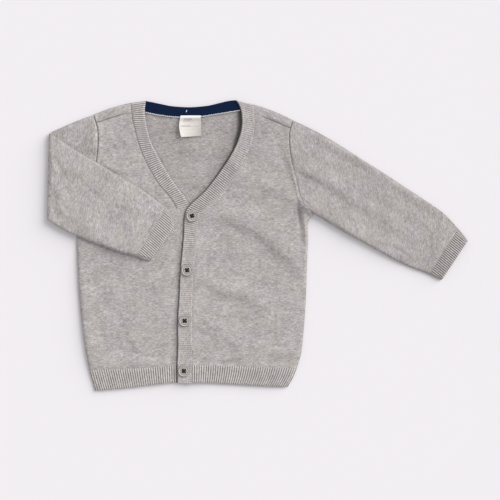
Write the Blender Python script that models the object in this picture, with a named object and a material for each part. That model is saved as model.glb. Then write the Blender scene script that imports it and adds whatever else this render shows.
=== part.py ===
# A baby's V-neck cardigan in fine grey knit, laid flat on its back.
#
# The left front laps over the right front, and four buttons close it. The left sleeve
# (+X) lies stretched out. The right sleeve is folded back over the body.
# Tables are in millimetres and seen from above: X to the wearer's left, Y to the neck,
# with the origin under the middle of the back. Left and right are the wearer's.

import bpy
import bmesh
from bisect import bisect
from collections import namedtuple
from math import ceil, cos, hypot, pi, radians, sin, sqrt

MM = 0.001

# Cloth and how it lies.
SEAM_GAP = 0.3        # between two pieces that are sewn together
JERSEY = 1.1          # wall of the panels and sleeves
RIB_WALL = 1.4        # wall of the bands, hems and cuffs, between crest and valley
RIB_RELIEF = 0.2      # how far a rib's crest stands over that wall, and its valley under
THICK = 4.4           # back and front lying on each other, with the air between them
ROLL = 3.4            # how far in from a folded edge the cloth lies level again
FOLD_STEPS = (0.0, 35.0, 62.0, 90.0)      # degrees round a folded edge

# Ribbing.
BAND_RIB = 2.4
HEM_RIB = 2.7
CUFF_RIB = 2.4
CUFF_WALL = 1.2
CUFF_PLAIN = (0.33, 0.67)     # shares across the side of a cuff without ribs
CUFF_LIP = 0.85       # share of a cuff's lower half where its lip begins
CUFF_DROOP = 0.5      # how much flatter it is at its foot

# The lap of the two fronts.
LAP_SINK = 1.6        # how much lower the right front lies under the left band
LAP_REACH = 18.0
LAP_RISE = 0.3        # how much higher the left front lies at its band
BAND_WIDTH = 17.0
HEM_DROOP = 0.9       # how much lower the fronts' free hem lies
HEM_DEPTH = 21.0
YOKE = 10.0           # how far the back reaches over the shoulder
ROW_STEP = 13.5       # widest step between the rows of a front
PANEL_STEPS = 9       # steps across a front, and up the side of the back
HEM_FADE = 40.0       # height above the hem over which the rows turn straight
LIP = 0.3             # how much lower the foot of a hem lies than its ribs
FREE_EDGE = 0.35      # how much lower the free edge of a band lies
SHOULDER_BOW = 1.3    # how far the fold of the shoulder bows out in its middle
SHOULDER_STOPS = (0.25, 0.5, 0.75)        # shares of the shoulder between its ends
YOKE_STEPS = (6.6, YOKE)                  # distances down the front of the shoulder
ARMHOLE_STOPS = (7.5, 13.0)               # distances up the armhole, past its roll
ARMHOLE_STEPS = 6     # steps from there up to the shoulder
NECK_STEPS = 18       # steps of the back along the neck band
NECK_STOPS = (0.5, 1.6, 3.2, 5.0, 7.5, 11, 16, 22, 29, 37, 46)   # of a neck band
BACK_HEM_STEPS = (0.25, 0.5, 0.75, 1.0)   # shares of half of the back's hem
HEM_DEPTHS = ((0.0, 0), (0.5, 1), (0.94, 1), (1.0, 0))   # share of depth, and of relief
BAND_SHARES = (0.0, 0.08, 1.0)            # across a band, from its free edge
LEFT_SLEEVE_STEPS = 15
UPPER_ARM_STEPS = 4
TURN_ANGLES = (30, 60, 90, 120, 150)      # degrees round the fold of the right sleeve
FOREARM_STEPS = 11
FOREARM_CLEAR = 0.4   # between the forearm and the body under it
BODY_EDGE = -128.0    # x where the body under the forearm begins
BODY_RISE = 12.0      # length over which the forearm climbs onto it
UNDER_CLEAR = 1.4     # lowest inner face of anything that lies over the back

# Closing.
BUTTON_WIDTH = 13.4
BUTTON_THICK = 2.2
BUTTON_RIM = 1.5
BUTTON_DISH = 0.5
HOLE_WIDTH = 1.7
HOLE_SPREAD = 1.75
TAPE_WALL = 1.0
TAPE_END = 8.5        # where the tape ends, from the fold of the neck
TAPE_STEPS = 22
TAPE_SHARES = (0.045, 0.5, 0.97)          # across the neck band, from its free edge
LABEL_WALL = 0.9
LABEL_ACROSS = 6
LABEL_DOWN = 8
LABEL_OVER = 147.5    # y where the label starts to climb over the tape
LABEL_CLIMB = 4.5     # length over which it climbs

Point = namedtuple("Point", "x y")
Strip = namedtuple("Strip", "free_x free_y seam_x seam_y")
Section = namedtuple("Section", "low_x low_y high_x high_y cap height")
Crease = namedtuple("Crease", "x1 y1 x2 y2 width height")
Finish = namedtuple("Finish", "colour roughness")

# Sides of the body, from the hem's lower edge up to the underarm.
LEFT_SIDE = (
    Point(109.9, -157.7),
    Point(116.4, -147.0),
    Point(120.6, -135.7),
    Point(125.6, -119.0),
    Point(127.9, -99.0),
    Point(130.8, -61.0),
    Point(132.1, -22.0),
    Point(133.5, 12.0),
    Point(134.6, 35.0),
    Point(140.0, 42.2),
)
RIGHT_SIDE = (
    Point(-111.2, -162.2),
    Point(-115.1, -149.5),
    Point(-118.3, -137.8),
    Point(-122.0, -120.0),
    Point(-125.0, -100.0),
    Point(-129.5, -58.0),
    Point(-131.8, -18.0),
    Point(-132.9, 12.0),
    Point(-134.4, 34.0),
    Point(-140.5, 41.5),
)

# Armholes, from the underarm up to the fold of the shoulder.
LEFT_ARMHOLE = (
    Point(140.0, 42.2),
    Point(133.0, 45.6),
    Point(127.8, 51.5),
    Point(124.9, 60.0),
    Point(120.6, 80.0),
    Point(115.0, 102.5),
    Point(112.6, 120.0),
    Point(112.6, 136.0),
    Point(116.2, 149.4),
)
RIGHT_ARMHOLE = (
    Point(-140.5, 41.5),
    Point(-132.5, 45.2),
    Point(-127.0, 51.5),
    Point(-122.6, 60.0),
    Point(-116.0, 80.0),
    Point(-110.2, 103.0),
    Point(-107.9, 122.0),
    Point(-108.6, 140.0),
    Point(-113.3, 155.8),
)

# Line between the hem and the panels, and the hem's lower edge.
HEM_TOP = (
    Point(-121.0, -138.0),
    Point(-68.5, -136.4),
    Point(-20.9, -133.4),
    Point(0.9, -132.8),
    Point(46.5, -133.4),
    Point(86.0, -135.2),
    Point(123.0, -136.0),
)
HEM_FOOT = (
    Point(-113.0, -162.4),
    Point(-68.5, -158.2),
    Point(-25.0, -153.0),
    Point(-9.0, -152.6),
    Point(46.5, -154.7),
    Point(86.0, -157.1),
    Point(113.0, -157.8),
)

# Left front band, from the hem up to the fold at the neck. It lies on top.
LEFT_BAND = (
    Strip(-17.2, -152.4, 0.0, -154.0),
    Strip(-17.5, -133.0, 0.0, -133.0),
    Strip(-16.8, -107.0, -0.1, -107.0),
    Strip(-17.0, -81.0, -0.1, -81.0),
    Strip(-15.4, -55.0, 0.1, -55.0),
    Strip(-14.2, -30.0, 1.6, -30.0),
    Strip(-12.1, -4.0, 4.6, -4.0),
    Strip(-10.1, 18.0, 6.1, 16.0),
    Strip(-9.1, 38.0, 7.1, 33.0),
    Strip(-7.2, 46.2, 8.8, 40.0),
    Strip(-2.3, 52.6, 12.3, 45.8),
    Strip(5.1, 59.4, 17.4, 51.2),
    Strip(15.8, 69.6, 28.0, 60.6),
    Strip(24.4, 80.4, 37.2, 70.4),
    Strip(33.0, 92.2, 46.6, 82.2),
    Strip(40.8, 103.8, 54.9, 94.4),
    Strip(47.6, 115.4, 62.1, 107.6),
    Strip(52.9, 127.6, 68.4, 121.6),
    Strip(56.2, 140.0, 71.8, 137.0),
    Strip(56.8, 152.0, 72.0, 150.0),
    Strip(55.0, 163.6, 71.6, 158.6),
    Strip(50.6, 172.4, 71.3, 167.6),
)
# Right front band, from the hem up to the fold at the neck. Its lower part is hidden.
RIGHT_BAND = (
    Strip(2.6, -150.5, -12.8, -150.5),
    Strip(2.6, -133.5, -12.8, -133.5),
    Strip(2.6, -107.0, -12.8, -107.0),
    Strip(2.6, -81.0, -12.8, -81.0),
    Strip(3.0, -55.0, -12.4, -55.0),
    Strip(3.0, -30.0, -12.6, -30.0),
    Strip(1.2, -8.0, -14.4, -8.0),
    Strip(0.0, 14.0, -15.8, 12.0),
    Strip(0.6, 34.0, -15.8, 32.0),
    Strip(-1.0, 47.0, -16.2, 43.0),
    Strip(-6.2, 57.2, -20.0, 52.6),
    Strip(-15.6, 70.2, -28.0, 63.8),
    Strip(-25.4, 84.2, -37.6, 75.2),
    Strip(-30.6, 92.8, -43.9, 85.0),
    Strip(-35.6, 101.2, -49.6, 95.0),
    Strip(-40.6, 110.2, -55.0, 106.0),
    Strip(-45.3, 119.4, -59.6, 117.0),
    Strip(-49.4, 129.6, -63.2, 129.6),
    Strip(-52.0, 141.0, -66.3, 141.6),
    Strip(-53.9, 152.0, -68.6, 152.0),
    Strip(-54.3, 162.0, -69.4, 159.6),
    Strip(-53.2, 171.6, -69.9, 169.6),
)
# Neck band across the back, from the right fold round to the left one.
BACK_NECK = (
    Strip(-53.2, 171.6, -69.9, 169.6),
    Strip(-52.9, 171.2, -65.6, 163.6),
    Strip(-51.2, 170.8, -58.6, 160.0),
    Strip(-45.6, 169.8, -49.4, 157.6),
    Strip(-36.8, 167.9, -39.8, 155.7),
    Strip(-25.3, 165.6, -27.4, 153.9),
    Strip(-13.8, 164.5, -14.8, 153.0),
    Strip(-2.3, 164.1, -2.3, 152.8),
    Strip(9.2, 164.8, 9.8, 153.7),
    Strip(20.7, 166.3, 22.0, 155.4),
    Strip(32.2, 169.1, 34.2, 157.4),
    Strip(41.6, 171.2, 46.0, 159.4),
    Strip(47.8, 172.0, 57.2, 161.2),
    Strip(50.0, 172.2, 66.2, 163.4),
    Strip(50.6, 172.4, 71.3, 167.6),
)
# Rows of these tables where a panel begins or ends.
HEM_ROW = 1
TURN_ROW = 8
NECK_CENTRE = 7

# Left sleeve, stretched out: its two edges, how much of the armhole's curve it keeps,
# and its height off the floor.
LEFT_SLEEVE = (
    Section(140.0, 42.2, 116.2, 149.4, 1.0, 4.4),
    Section(156.4, 31.6, 141.5, 137.2, 0.6, 4.4),
    Section(174.5, 20.7, 166.0, 123.2, 0.2, 4.3),
    Section(195.0, 9.5, 192.0, 106.6, 0.0, 4.2),
    Section(215.5, -1.9, 218.0, 90.3, 0.0, 4.1),
    Section(236.0, -12.8, 244.5, 72.8, 0.0, 4.0),
    Section(256.0, -21.4, 272.0, 54.8, 0.0, 4.0),
    Section(266.0, -25.0, 290.5, 41.5, 0.0, 3.9),
    Section(272.8, -27.9, 306.4, 24.8, 0.0, 3.8),
)
LEFT_CUFF = (
    Section(272.8, -27.9, 306.4, 24.8, 0.0, 3.8),
    Section(280.4, -31.6, 312.4, 17.4, 0.0, 3.7),
    Section(287.3, -34.4, 317.4, 10.6, 0.0, 3.4),
)
# Right sleeve as far as its fold, and from the fold back over the body.
RIGHT_SLEEVE = (
    Section(-140.5, 41.5, -113.3, 155.8, 1.0, 4.4),
    Section(-150.0, 38.6, -130.0, 149.6, 0.5, 4.0),
    Section(-162.8, 36.5, -160.5, 136.6, 0.0, 3.4),
)
RIGHT_FOREARM = (
    Section(-162.8, 32.6, -160.5, 132.4, 0.0, 3.4),
    Section(-150.4, 25.0, -147.6, 123.4, 0.0, 3.4),
    Section(-134.2, 17.2, -127.0, 110.4, 0.0, 3.4),
    Section(-114.0, 8.6, -103.6, 97.0, 0.0, 3.4),
    Section(-94.0, 1.6, -80.0, 82.6, 0.0, 3.4),
    Section(-76.4, -4.6, -55.0, 67.4, 0.0, 3.3),
    Section(-64.0, -7.4, -29.4, 48.4, 0.0, 3.2),
)
RIGHT_CUFF = (
    Section(-64.0, -7.4, -29.4, 48.4, 0.0, 3.2),
    Section(-56.0, -10.8, -22.8, 39.6, 0.0, 3.2),
    Section(-47.5, -12.4, -17.9, 29.4, 0.0, 3.0),
)
FOLD_RADIUS = 2.4     # of the middle of the sleeve, where it turns back
FOLD_OUT = Point(-0.9997, 0.023)

# Soft troughs and ridges of the front, as lines with a width and a height.
CREASES = (
    Crease(34, 28, 122, -24, 14, -1.2),
    Crease(30, 44, 84, 24, 14, 0.7),
    Crease(76, 2, 128, -46, 15, 0.9),
    Crease(2, -36, 66, -60, 15, -0.6),
    Crease(125, 56, 120, 6, 12, -1.0),
    Crease(108, 48, 106, -12, 14, 0.8),
    Crease(60, -68, 98, -114, 18, 0.9),
    Crease(40, 90, 100, 114, 20, 0.7),
    Crease(-96, -112, -30, -126, 14, -0.5),
    Crease(-94, -28, -58, -98, 20, 0.9),
    Crease(184, 56, 226, 26, 13, -0.8),
    Crease(172, 72, 216, 50, 15, 0.6),
    Crease(144, 58, 178, 90, 14, -0.7),
    Crease(228, 34, 264, 4, 14, -0.6),
    Crease(238, 58, 284, 20, 15, 0.6),
)
# The same on the forearm that lies over the body.
FOREARM_CREASES = (
    Crease(-156, 112, -126, 54, 13, -0.8),
    Crease(-142, 108, -108, 68, 15, 0.7),
    Crease(-114, 80, -82, 26, 14, -0.6),
    Crease(-98, 62, -62, 24, 15, 0.6),
)

BUTTONS = (
    Point(0.2, 39.2),
    Point(-5.5, -23.2),
    Point(-8.3, -81.3),
    Point(-9.2, -139.0),
)
LABEL_MIDDLE = Point(-1.5, 142.4)
LABEL_SIZE = Point(23.0, 25.0)
LABEL_CURL = 1.6

FINISHES = {
    "jersey": Finish((0.44, 0.42, 0.40), 0.9),
    "rib": Finish((0.40, 0.38, 0.37), 0.9),
    "tape": Finish((0.006, 0.012, 0.06), 0.8),
    "label": Finish((0.82, 0.80, 0.78), 0.5),
    "button": Finish((0.36, 0.34, 0.32), 0.35),
}


def ease(share):
    share = min(max(share, 0.0), 1.0)
    return share * share * (3 - 2 * share)


def mix(a, b, share):
    return tuple(p + (q - p) * share for p, q in zip(a, b))


def unit(x, y):
    length = hypot(x, y)
    return x / length, y / length


def on_plan(row):
    return row[0], row[1]


def between_edges(row):
    return (row[0] + row[2]) / 2, (row[1] + row[3]) / 2


def smooth(rows, gauge, steps):
    """A smooth curve through the rows of a table, with steps in each interval."""
    spans = []
    for a, b in zip(rows, rows[1:]):
        (ax, ay), (bx, by) = gauge(a), gauge(b)
        spans.append(max(hypot(bx - ax, by - ay), 0.5))
    slopes = []
    for k in range(len(rows)):
        near = max(k - 1, 0)
        far = min(k, len(spans) - 1)
        into = [(q - p) / spans[near] for p, q in zip(rows[near], rows[near + 1])]
        out = [(q - p) / spans[far] for p, q in zip(rows[far], rows[far + 1])]
        weight = spans[near] / (spans[near] + spans[far])
        slopes.append([p * (1 - weight) + q * weight for p, q in zip(into, out)])
    curve = []
    for k, span in enumerate(spans):
        for step in range(steps):
            t = step / steps
            start = (1 + 2 * t) * (1 - t) ** 2
            lead = t * (1 - t) ** 2 * span
            end = t * t * (3 - 2 * t)
            trail = t * t * (t - 1) * span
            curve.append(tuple(
                start * p + lead * m + end * q + trail * n
                for p, m, q, n in zip(rows[k], slopes[k], rows[k + 1], slopes[k + 1])))
    curve.append(tuple(rows[-1]))
    return curve


class Path:
    """A smooth curve through a table's rows, read by the distance along it."""

    def __init__(self, rows, gauge=on_plan, steps=8):
        self.rows = smooth(rows, gauge, steps)
        self.marks = [0.0]
        for a, b in zip(self.rows, self.rows[1:]):
            (ax, ay), (bx, by) = gauge(a), gauge(b)
            self.marks.append(self.marks[-1] + hypot(bx - ax, by - ay))
        self.knots = self.marks[::steps]
        self.length = self.marks[-1]

    def at(self, distance):
        place = min(max(distance, 0.0), self.length)
        k = min(max(bisect(self.marks, place), 1), len(self.marks) - 1)
        span = self.marks[k] - self.marks[k - 1]
        return mix(self.rows[k - 1], self.rows[k], (place - self.marks[k - 1]) / span)

    def heading(self, distance):
        place = min(max(distance, 0.4), self.length - 0.4)
        a, b = self.at(place - 0.4), self.at(place + 0.4)
        return unit(b[0] - a[0], b[1] - a[1])

    def beside(self, distance, offset):
        """The point that lies to the left of the way along by an offset."""
        x, y = self.at(distance)
        ahead_x, ahead_y = self.heading(distance)
        return x - ahead_y * offset, y + ahead_x * offset

    def by_column(self, column, value):
        """The row where a column that only rises reaches a value."""
        heights = [row[column] for row in self.rows]
        k = min(max(bisect(heights, value), 1), len(heights) - 1)
        share = (value - heights[k - 1]) / (heights[k] - heights[k - 1])
        return mix(self.rows[k - 1], self.rows[k], min(max(share, 0.0), 1.0))


hem_top = Path(HEM_TOP)
hem_foot = Path(HEM_FOOT)
left_side, right_side = Path(LEFT_SIDE), Path(RIGHT_SIDE)
left_armhole, right_armhole = Path(LEFT_ARMHOLE), Path(RIGHT_ARMHOLE)
left_band = Path(LEFT_BAND, between_edges)
right_band = Path(RIGHT_BAND, between_edges)
back_neck = Path(BACK_NECK, between_edges)


def crease_height(table, x, y):
    total = 0.0
    for crease in table:
        along_x, along_y = crease.x2 - crease.x1, crease.y2 - crease.y1
        length = hypot(along_x, along_y)
        share = ((x - crease.x1) * along_x + (y - crease.y1) * along_y) / length ** 2
        if 0 < share < 1:
            off = ((x - crease.x1) * along_y - (y - crease.y1) * along_x) / length
            if abs(off) < crease.width:
                fade = 1 - (2 * share - 1) ** 2
                total += crease.height * fade * (1 - (off / crease.width) ** 2) ** 2
    return total


def front_height(x, y, under):
    """Height of the upper face of the fronts, on the left front or on the right one."""
    reach = left_band.by_column(1, y)[0] - x
    height = THICK + crease_height(CREASES, x, y)
    if under:
        height -= LAP_SINK * ease(1 - reach / LAP_REACH)
    else:
        height += LAP_RISE * ease((40 + reach) / 20) * ease((110 - y) / 60)
    hem_share = ease((hem_top.by_column(0, x)[1] - y) / HEM_DEPTH)
    return height - HEM_DROOP * hem_share * ease((abs(reach) - BAND_WIDTH) / 25)


def rolled(x, y, distance, inward, top, side, wall, gap=0.0):
    """Outer and inner point of a layer, at a distance from a folded edge.

    side is 1 for the upper layer, whose outer face is at top, and -1 for the lower one,
    whose outer face is on the floor."""
    cosine = max(0.0, 1 - distance / ROLL)
    sine = sqrt(1 - cosine * cosine)
    middle = THICK / 2
    half = top - middle if side > 0 else middle
    outer = (x, y, middle + side * (gap + (half - gap) * sine))
    shift = wall * cosine
    inner_z = middle + side * (gap + (half - wall - gap) * sine)
    return outer, (x + inward[0] * shift, y + inward[1] * shift, inner_z)


def roll_distances():
    return [ROLL * (1 - cos(radians(angle))) for angle in FOLD_STEPS]


def make_material(slot):
    finish = FINISHES[slot]
    material = bpy.data.materials.new(slot)
    material.use_nodes = True
    shader = material.node_tree.nodes["Principled BSDF"]
    shader.inputs["Base Color"].default_value = (*finish.colour, 1.0)
    shader.inputs["Roughness"].default_value = finish.roughness
    material.diffuse_color = (*finish.colour, 1.0)
    return material


def add_object(name, mesh, slot):
    mesh.materials.append(make_material(slot))
    piece = bpy.data.objects.new(name, mesh)
    bpy.context.scene.collection.objects.link(piece)
    return piece


def add_wall(name, pairs, slot, ring=False):
    """One closed wall from a grid of (outer, inner) points; None leaves a cell out.

    With ring, each row closes on itself and makes a tube."""
    work = bmesh.new()
    faces = []
    for layer in (0, 1):
        corners = [[work.verts.new([c * MM for c in pair[layer]]) if pair else None
                    for pair in row] for row in pairs]
        faces.append(corners)
    rims = {}
    for low, high in zip(range(len(pairs)), range(1, len(pairs))):
        count = len(pairs[low])
        for k in range(count if ring else count - 1):
            follow = (k + 1) % count
            cell = ((low, k), (low, follow), (high, follow), (high, k))
            if any(pairs[row][column] is None for row, column in cell):
                continue
            work.faces.new([faces[0][row][column] for row, column in cell])
            work.faces.new([faces[1][row][column] for row, column in reversed(cell)])
            for a, b in zip(cell, cell[1:] + cell[:1]):
                if (b, a) in rims:
                    del rims[(b, a)]
                else:
                    rims[(a, b)] = True
    for a, b in rims:
        work.faces.new((faces[0][b[0]][b[1]], faces[0][a[0]][a[1]],
                        faces[1][a[0]][a[1]], faces[1][b[0]][b[1]]))
    bmesh.ops.triangulate(work, faces=work.faces[:])
    bmesh.ops.recalc_face_normals(work, faces=work.faces[:])
    mesh = bpy.data.meshes.new(name)
    work.to_mesh(mesh)
    work.free()
    return add_object(name, mesh, slot)


def shoulder_edge(armhole, corner, share, distance, neck_path_point):
    """A point of the shoulder: share 0 at the armhole, 1 at the neck."""
    arm = armhole.at(armhole.length - distance)
    top = armhole.at(armhole.length)
    straight = mix(arm, neck_path_point, share)
    bow = SHOULDER_BOW * 4 * share * (1 - share) * (1 - distance / YOKE)
    across = unit(corner[0] - top[0], corner[1] - top[1])
    side = 1 if across[0] < 0 else -1
    return straight[0] + side * across[1] * bow, straight[1] - side * across[0] * bow


def above_hem(x, lowest, height):
    """How far a point moves so that the rows near the hem follow the hem's line.

    lowest is where a straight lowest row has that x, and height is above that row."""
    return (hem_top.by_column(0, x)[1] + SEAM_GAP - lowest) * (1 - ease(height / HEM_FADE))


def front_panel(name, band, side, armhole, under):
    """A front, from its hem up to the seam in front of the shoulder."""
    away = 1 if under else -1
    seam = Path([(row.seam_x, row.seam_y) for row in band])
    last = seam.length - YOKE - SEAM_GAP
    start = seam.knots[HEM_ROW] + SEAM_GAP
    turn = seam.knots[TURN_ROW]
    marks = [start]
    for knot in [knot for knot in seam.knots[HEM_ROW + 1:] if knot < last - 4] + [last]:
        parts = ceil((knot - marks[-1]) / ROW_STEP)
        marks += [marks[-1] + (knot - marks[-1]) * k / parts for k in range(1, parts + 1)]
    side_start = side.knots[2] + SEAM_GAP
    arm_last = armhole.length - YOKE - SEAM_GAP
    grid = []
    for mark in marks:
        centre = seam.beside(mark, away * SEAM_GAP)
        if mark <= turn:
            share = (mark - start) / (turn - start)
            edge = side.at(side_start + share * (side.length - side_start))
            arm = 0.0
        else:
            arm = arm_last * (mark - turn) / (last - turn)
            edge = armhole.at(arm)
        inward = unit(centre[0] - edge[0], centre[1] - edge[1])
        width = hypot(centre[0] - edge[0], centre[1] - edge[1])
        across = roll_distances()
        across += [ROLL + (width - ROLL) * k / PANEL_STEPS for k in range(1, PANEL_STEPS + 1)]
        row = []
        for distance in across:
            x, y = edge[0] + inward[0] * distance, edge[1] + inward[1] * distance
            share = distance / width
            lowest = side.at(side_start)[1] * (1 - share) + seam.at(start)[1] * share
            y += above_hem(x, lowest, mark - start)
            top = front_height(x, y, under)
            row.append(rolled(x, y, distance + arm, inward, top, 1, JERSEY, SEAM_GAP / 2))
        grid.append(row)
    add_wall(name, grid, "jersey")
    return [arm_last * (mark - turn) / (last - turn) for mark in marks if mark > turn]


def seam_points(band, distances):
    """Points on a band's seam edge, at distances from the fold at the neck."""
    seam = Path([(row.seam_x, row.seam_y) for row in band])
    return [seam.at(seam.length - distance) for distance in distances]


def back_stops(armhole):
    """Distances up an armhole where the back and its sleeve have their corners."""
    lowest, highest = ARMHOLE_STOPS[-1], armhole.length - ROLL
    stops = [ROLL, *ARMHOLE_STOPS]
    step = (highest - lowest) / ARMHOLE_STEPS
    return stops + [lowest + step * k for k in range(1, ARMHOLE_STEPS + 1)]


def back_panel():
    """The back, which folds over both shoulders to a seam on the front."""
    neck = Path([(row.seam_x, row.seam_y) for row in BACK_NECK])
    neck_marks = [neck.length * k / NECK_STEPS for k in range(1, NECK_STEPS)]
    neck_marks = [ROLL] + neck_marks + [neck.length - ROLL]
    neck_row = [neck.beside(mark, -SEAM_GAP) for mark in neck_marks]

    def top_row(distance):
        right_neck, left_neck = neck_row[0], neck_row[-1]
        right = [shoulder_edge(right_armhole, right_neck, share, distance, right_neck)
                 for share in (0.0,) + SHOULDER_STOPS]
        left = [shoulder_edge(left_armhole, left_neck, share, distance, left_neck)
                for share in (0.0,) + SHOULDER_STOPS]
        return right + neck_row + left[::-1]

    level = top_row(ROLL)
    first, last = level[0], level[-1]
    shares = [(p[0] - first[0]) / (last[0] - first[0]) for p in level[1:-1]]
    rows = []
    side_shares = [k / PANEL_STEPS for k in range(PANEL_STEPS)] + [0.95, 1.0]
    side_marks = [(None, share) for share in side_shares]
    arm_marks = [(k, 1.0) for k in range(len(back_stops(left_armhole)))]
    for stop, side_share in side_marks + arm_marks:
        if stop is not None:
            right_arm = back_stops(right_armhole)[stop]
            left_arm = back_stops(left_armhole)[stop]
            right, left = right_armhole.at(right_arm), left_armhole.at(left_arm)
        else:
            right_arm = left_arm = 0.0
            right_start, left_start = right_side.knots[2], left_side.knots[2]
            right = right_side.at(right_start + side_share * (right_side.length - right_start))
            left = left_side.at(left_start + side_share * (left_side.length - left_start))
        across = unit(left[0] - right[0], left[1] - right[1])
        lift = ease((left_arm / (left_armhole.length - ROLL) - 0.45) / 0.55)
        height = side_share * (right_side.length - right_side.knots[2])
        lowest = right_side.at(right_side.knots[2])[1]
        row = []
        for distance in roll_distances():
            x, y = right[0] + across[0] * distance, right[1] + across[1] * distance
            y += above_hem(x, lowest, height)
            row.append(rolled(x, y, distance + right_arm, across, THICK, -1, JERSEY, SEAM_GAP / 2))
        for share, target in zip(shares, level[1:-1]):
            x, y = mix(right, left, share)
            straight = mix(first, last, share)
            x += lift * (target[0] - straight[0])
            y += lift * (target[1] - straight[1])
            y += above_hem(x, lowest, height)
            row.append(rolled(x, y, ROLL, across, THICK, -1, JERSEY))
        back = (-across[0], -across[1])
        for distance in reversed(roll_distances()):
            x, y = left[0] - across[0] * distance, left[1] - across[1] * distance
            y += above_hem(x, lowest, height)
            row.append(rolled(x, y, distance + left_arm, back, THICK, -1, JERSEY, SEAM_GAP / 2))
        rows.append(row)
    rows += yoke_rows(len(rows[0]), neck)
    add_wall("back", rows, "jersey")


def yoke_rows(count, neck):
    """Rows that carry the back over its two shoulders, with nothing between them."""
    distances = roll_distances()
    behind = [(distance, -1) for distance in reversed(distances[:-1])]
    before = [(distance, 1) for distance in distances[1:] + list(YOKE_STEPS)]
    rows = []
    for distance, side in behind + before:
        row = [None] * count
        for armhole, band in ((right_armhole, RIGHT_BAND), (left_armhole, LEFT_BAND)):
            at_end = band is LEFT_BAND
            corner = (band[-1].seam_x, band[-1].seam_y)
            outward = SEAM_GAP if at_end else -SEAM_GAP
            if side < 0:
                place = neck.length - distance if at_end else distance
                x, y = neck.beside(place, -SEAM_GAP)
            else:
                x, y = seam_points(band, [distance])[0]
            if distance == 0 or side > 0:
                x += outward
            top = armhole.at(armhole.length)
            foot = armhole.at(armhole.length - YOKE)
            neck_foot = seam_points(band, [YOKE])[0]
            span = hypot(corner[0] - top[0], corner[1] - top[1])
            shares = [step / span for step in distances] + [*SHOULDER_STOPS, 1.0]
            for k, share in enumerate(shares):
                px, py = shoulder_edge(armhole, corner, share, distance, (x, y))
                inward = unit(*(mix((foot[0] - top[0], foot[1] - top[1]),
                                    (neck_foot[0] - corner[0], neck_foot[1] - corner[1]), share)))
                pair = rolled(px, py, distance, inward, THICK, side, JERSEY)
                row[count - 1 - k if at_end else k] = pair
        rows.append(row)
    return rows


def rib_marks(start, end, pitch):
    """Places of crests and valleys along a length, with 1 at a crest and -1 between."""
    count = max(2, round(abs(end - start) / pitch) * 2)
    return [(start + (end - start) * k / count, 1 if k % 2 else -1) for k in range(count + 1)]


def ribbed(pair, relief):
    """The pair with its outer point raised by a rib's relief."""
    (x, y, z), inner = pair
    return (x, y, z + relief * RIB_RELIEF), inner


def hem_point(side, inner_x, share, depth):
    """A point of the hem: share 0 at the side of the body, depth 1 at its foot."""
    edge_x = side.at(side.knots[2] * (1 - depth))[0]
    x = edge_x + (inner_x - edge_x) * share
    top, foot = hem_top.by_column(0, x)[1], hem_foot.by_column(0, x)[1]
    return x, top + (foot - top) * depth


def front_hem(name, side, inner_x, under):
    """A ribbed hem under a front, from the side seam to its band."""
    width = abs(inner_x - side.at(side.knots[2])[0])
    facing = (1, 0) if inner_x > side.at(0)[0] else (-1, 0)
    shares = [(distance / width, 0) for distance in roll_distances()]
    shares += rib_marks(ROLL / width, 1.0, HEM_RIB / width)[1:]
    grid = []
    for depth, level in HEM_DEPTHS:
        row = []
        for share, relief in shares:
            x, y = hem_point(side, inner_x, share, depth)
            top = front_height(x, y, under) - (LIP if depth == 1.0 else 0.0)
            pair = rolled(x, y, share * width, facing, top, 1, RIB_WALL, SEAM_GAP / 2)
            (ox, oy, oz), (ix, iy, iz) = pair
            row.append(ribbed(((ox, oy, oz), (ix, iy, max(iz, UNDER_CLEAR))), relief * level))
        grid.append(row)
    add_wall(name, grid, "rib")


def back_hem():
    """The back's hem, flat on the surface that the cardigan lies on."""
    grid = []
    for depth in (0.0, 0.5, 1.0):
        row = []
        for side, facing in ((right_side, (1, 0)), (left_side, (-1, 0))):
            width = abs(side.at(side.knots[2])[0])
            points = []
            for share in [distance / width for distance in roll_distances()] + [*BACK_HEM_STEPS]:
                x, y = hem_point(side, 0.0, share, depth)
                pair = rolled(x, y, share * width, facing, THICK, -1, JERSEY, SEAM_GAP / 2)
                points.append(pair)
            row += points if side is right_side else points[-2::-1]
        grid.append(row)
    add_wall("hem_back", grid, "rib")


def fold_distance(x, y, band):
    """How far a point is from the fold of a band at the neck, and the way off it."""
    corner = band[-1]
    ax, ay, bx, by = corner
    share = ((x - ax) * (bx - ax) + (y - ay) * (by - ay)) / ((bx - ax) ** 2 + (by - ay) ** 2)
    share = min(max(share, 0.0), 1.0)
    near_x, near_y = ax + (bx - ax) * share, ay + (by - ay) * share
    distance = hypot(x - near_x, y - near_y)
    if distance < 0.05:
        across = unit(bx - ax, by - ay)
        turn = -1 if across[0] > 0 else 1
        return 0.0, (-turn * across[1], turn * across[0])
    return distance, ((x - near_x) / distance, (y - near_y) / distance)


def band_row(section, band, side, under, relief, wall):
    """A row of a band across its width, from its free edge to its seam."""
    row = []
    for share in BAND_SHARES:
        x = section[0] + (section[2] - section[0]) * share
        y = section[1] + (section[3] - section[1]) * share
        distance, inward = fold_distance(x, y, band)
        top = front_height(x, y, under)
        (ox, oy, oz), inner = rolled(x, y, distance, inward, top, side, wall)
        level = min(1.0, distance / ROLL / 2)
        if under:
            level *= ease((left_band.by_column(1, y)[0] - x - 2) / 6)
        if share == 0.0 and side > 0:
            oz -= FREE_EDGE * level
        oz += side * relief * level * RIB_RELIEF
        row.append(((ox, oy, oz), inner))
    return row


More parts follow.
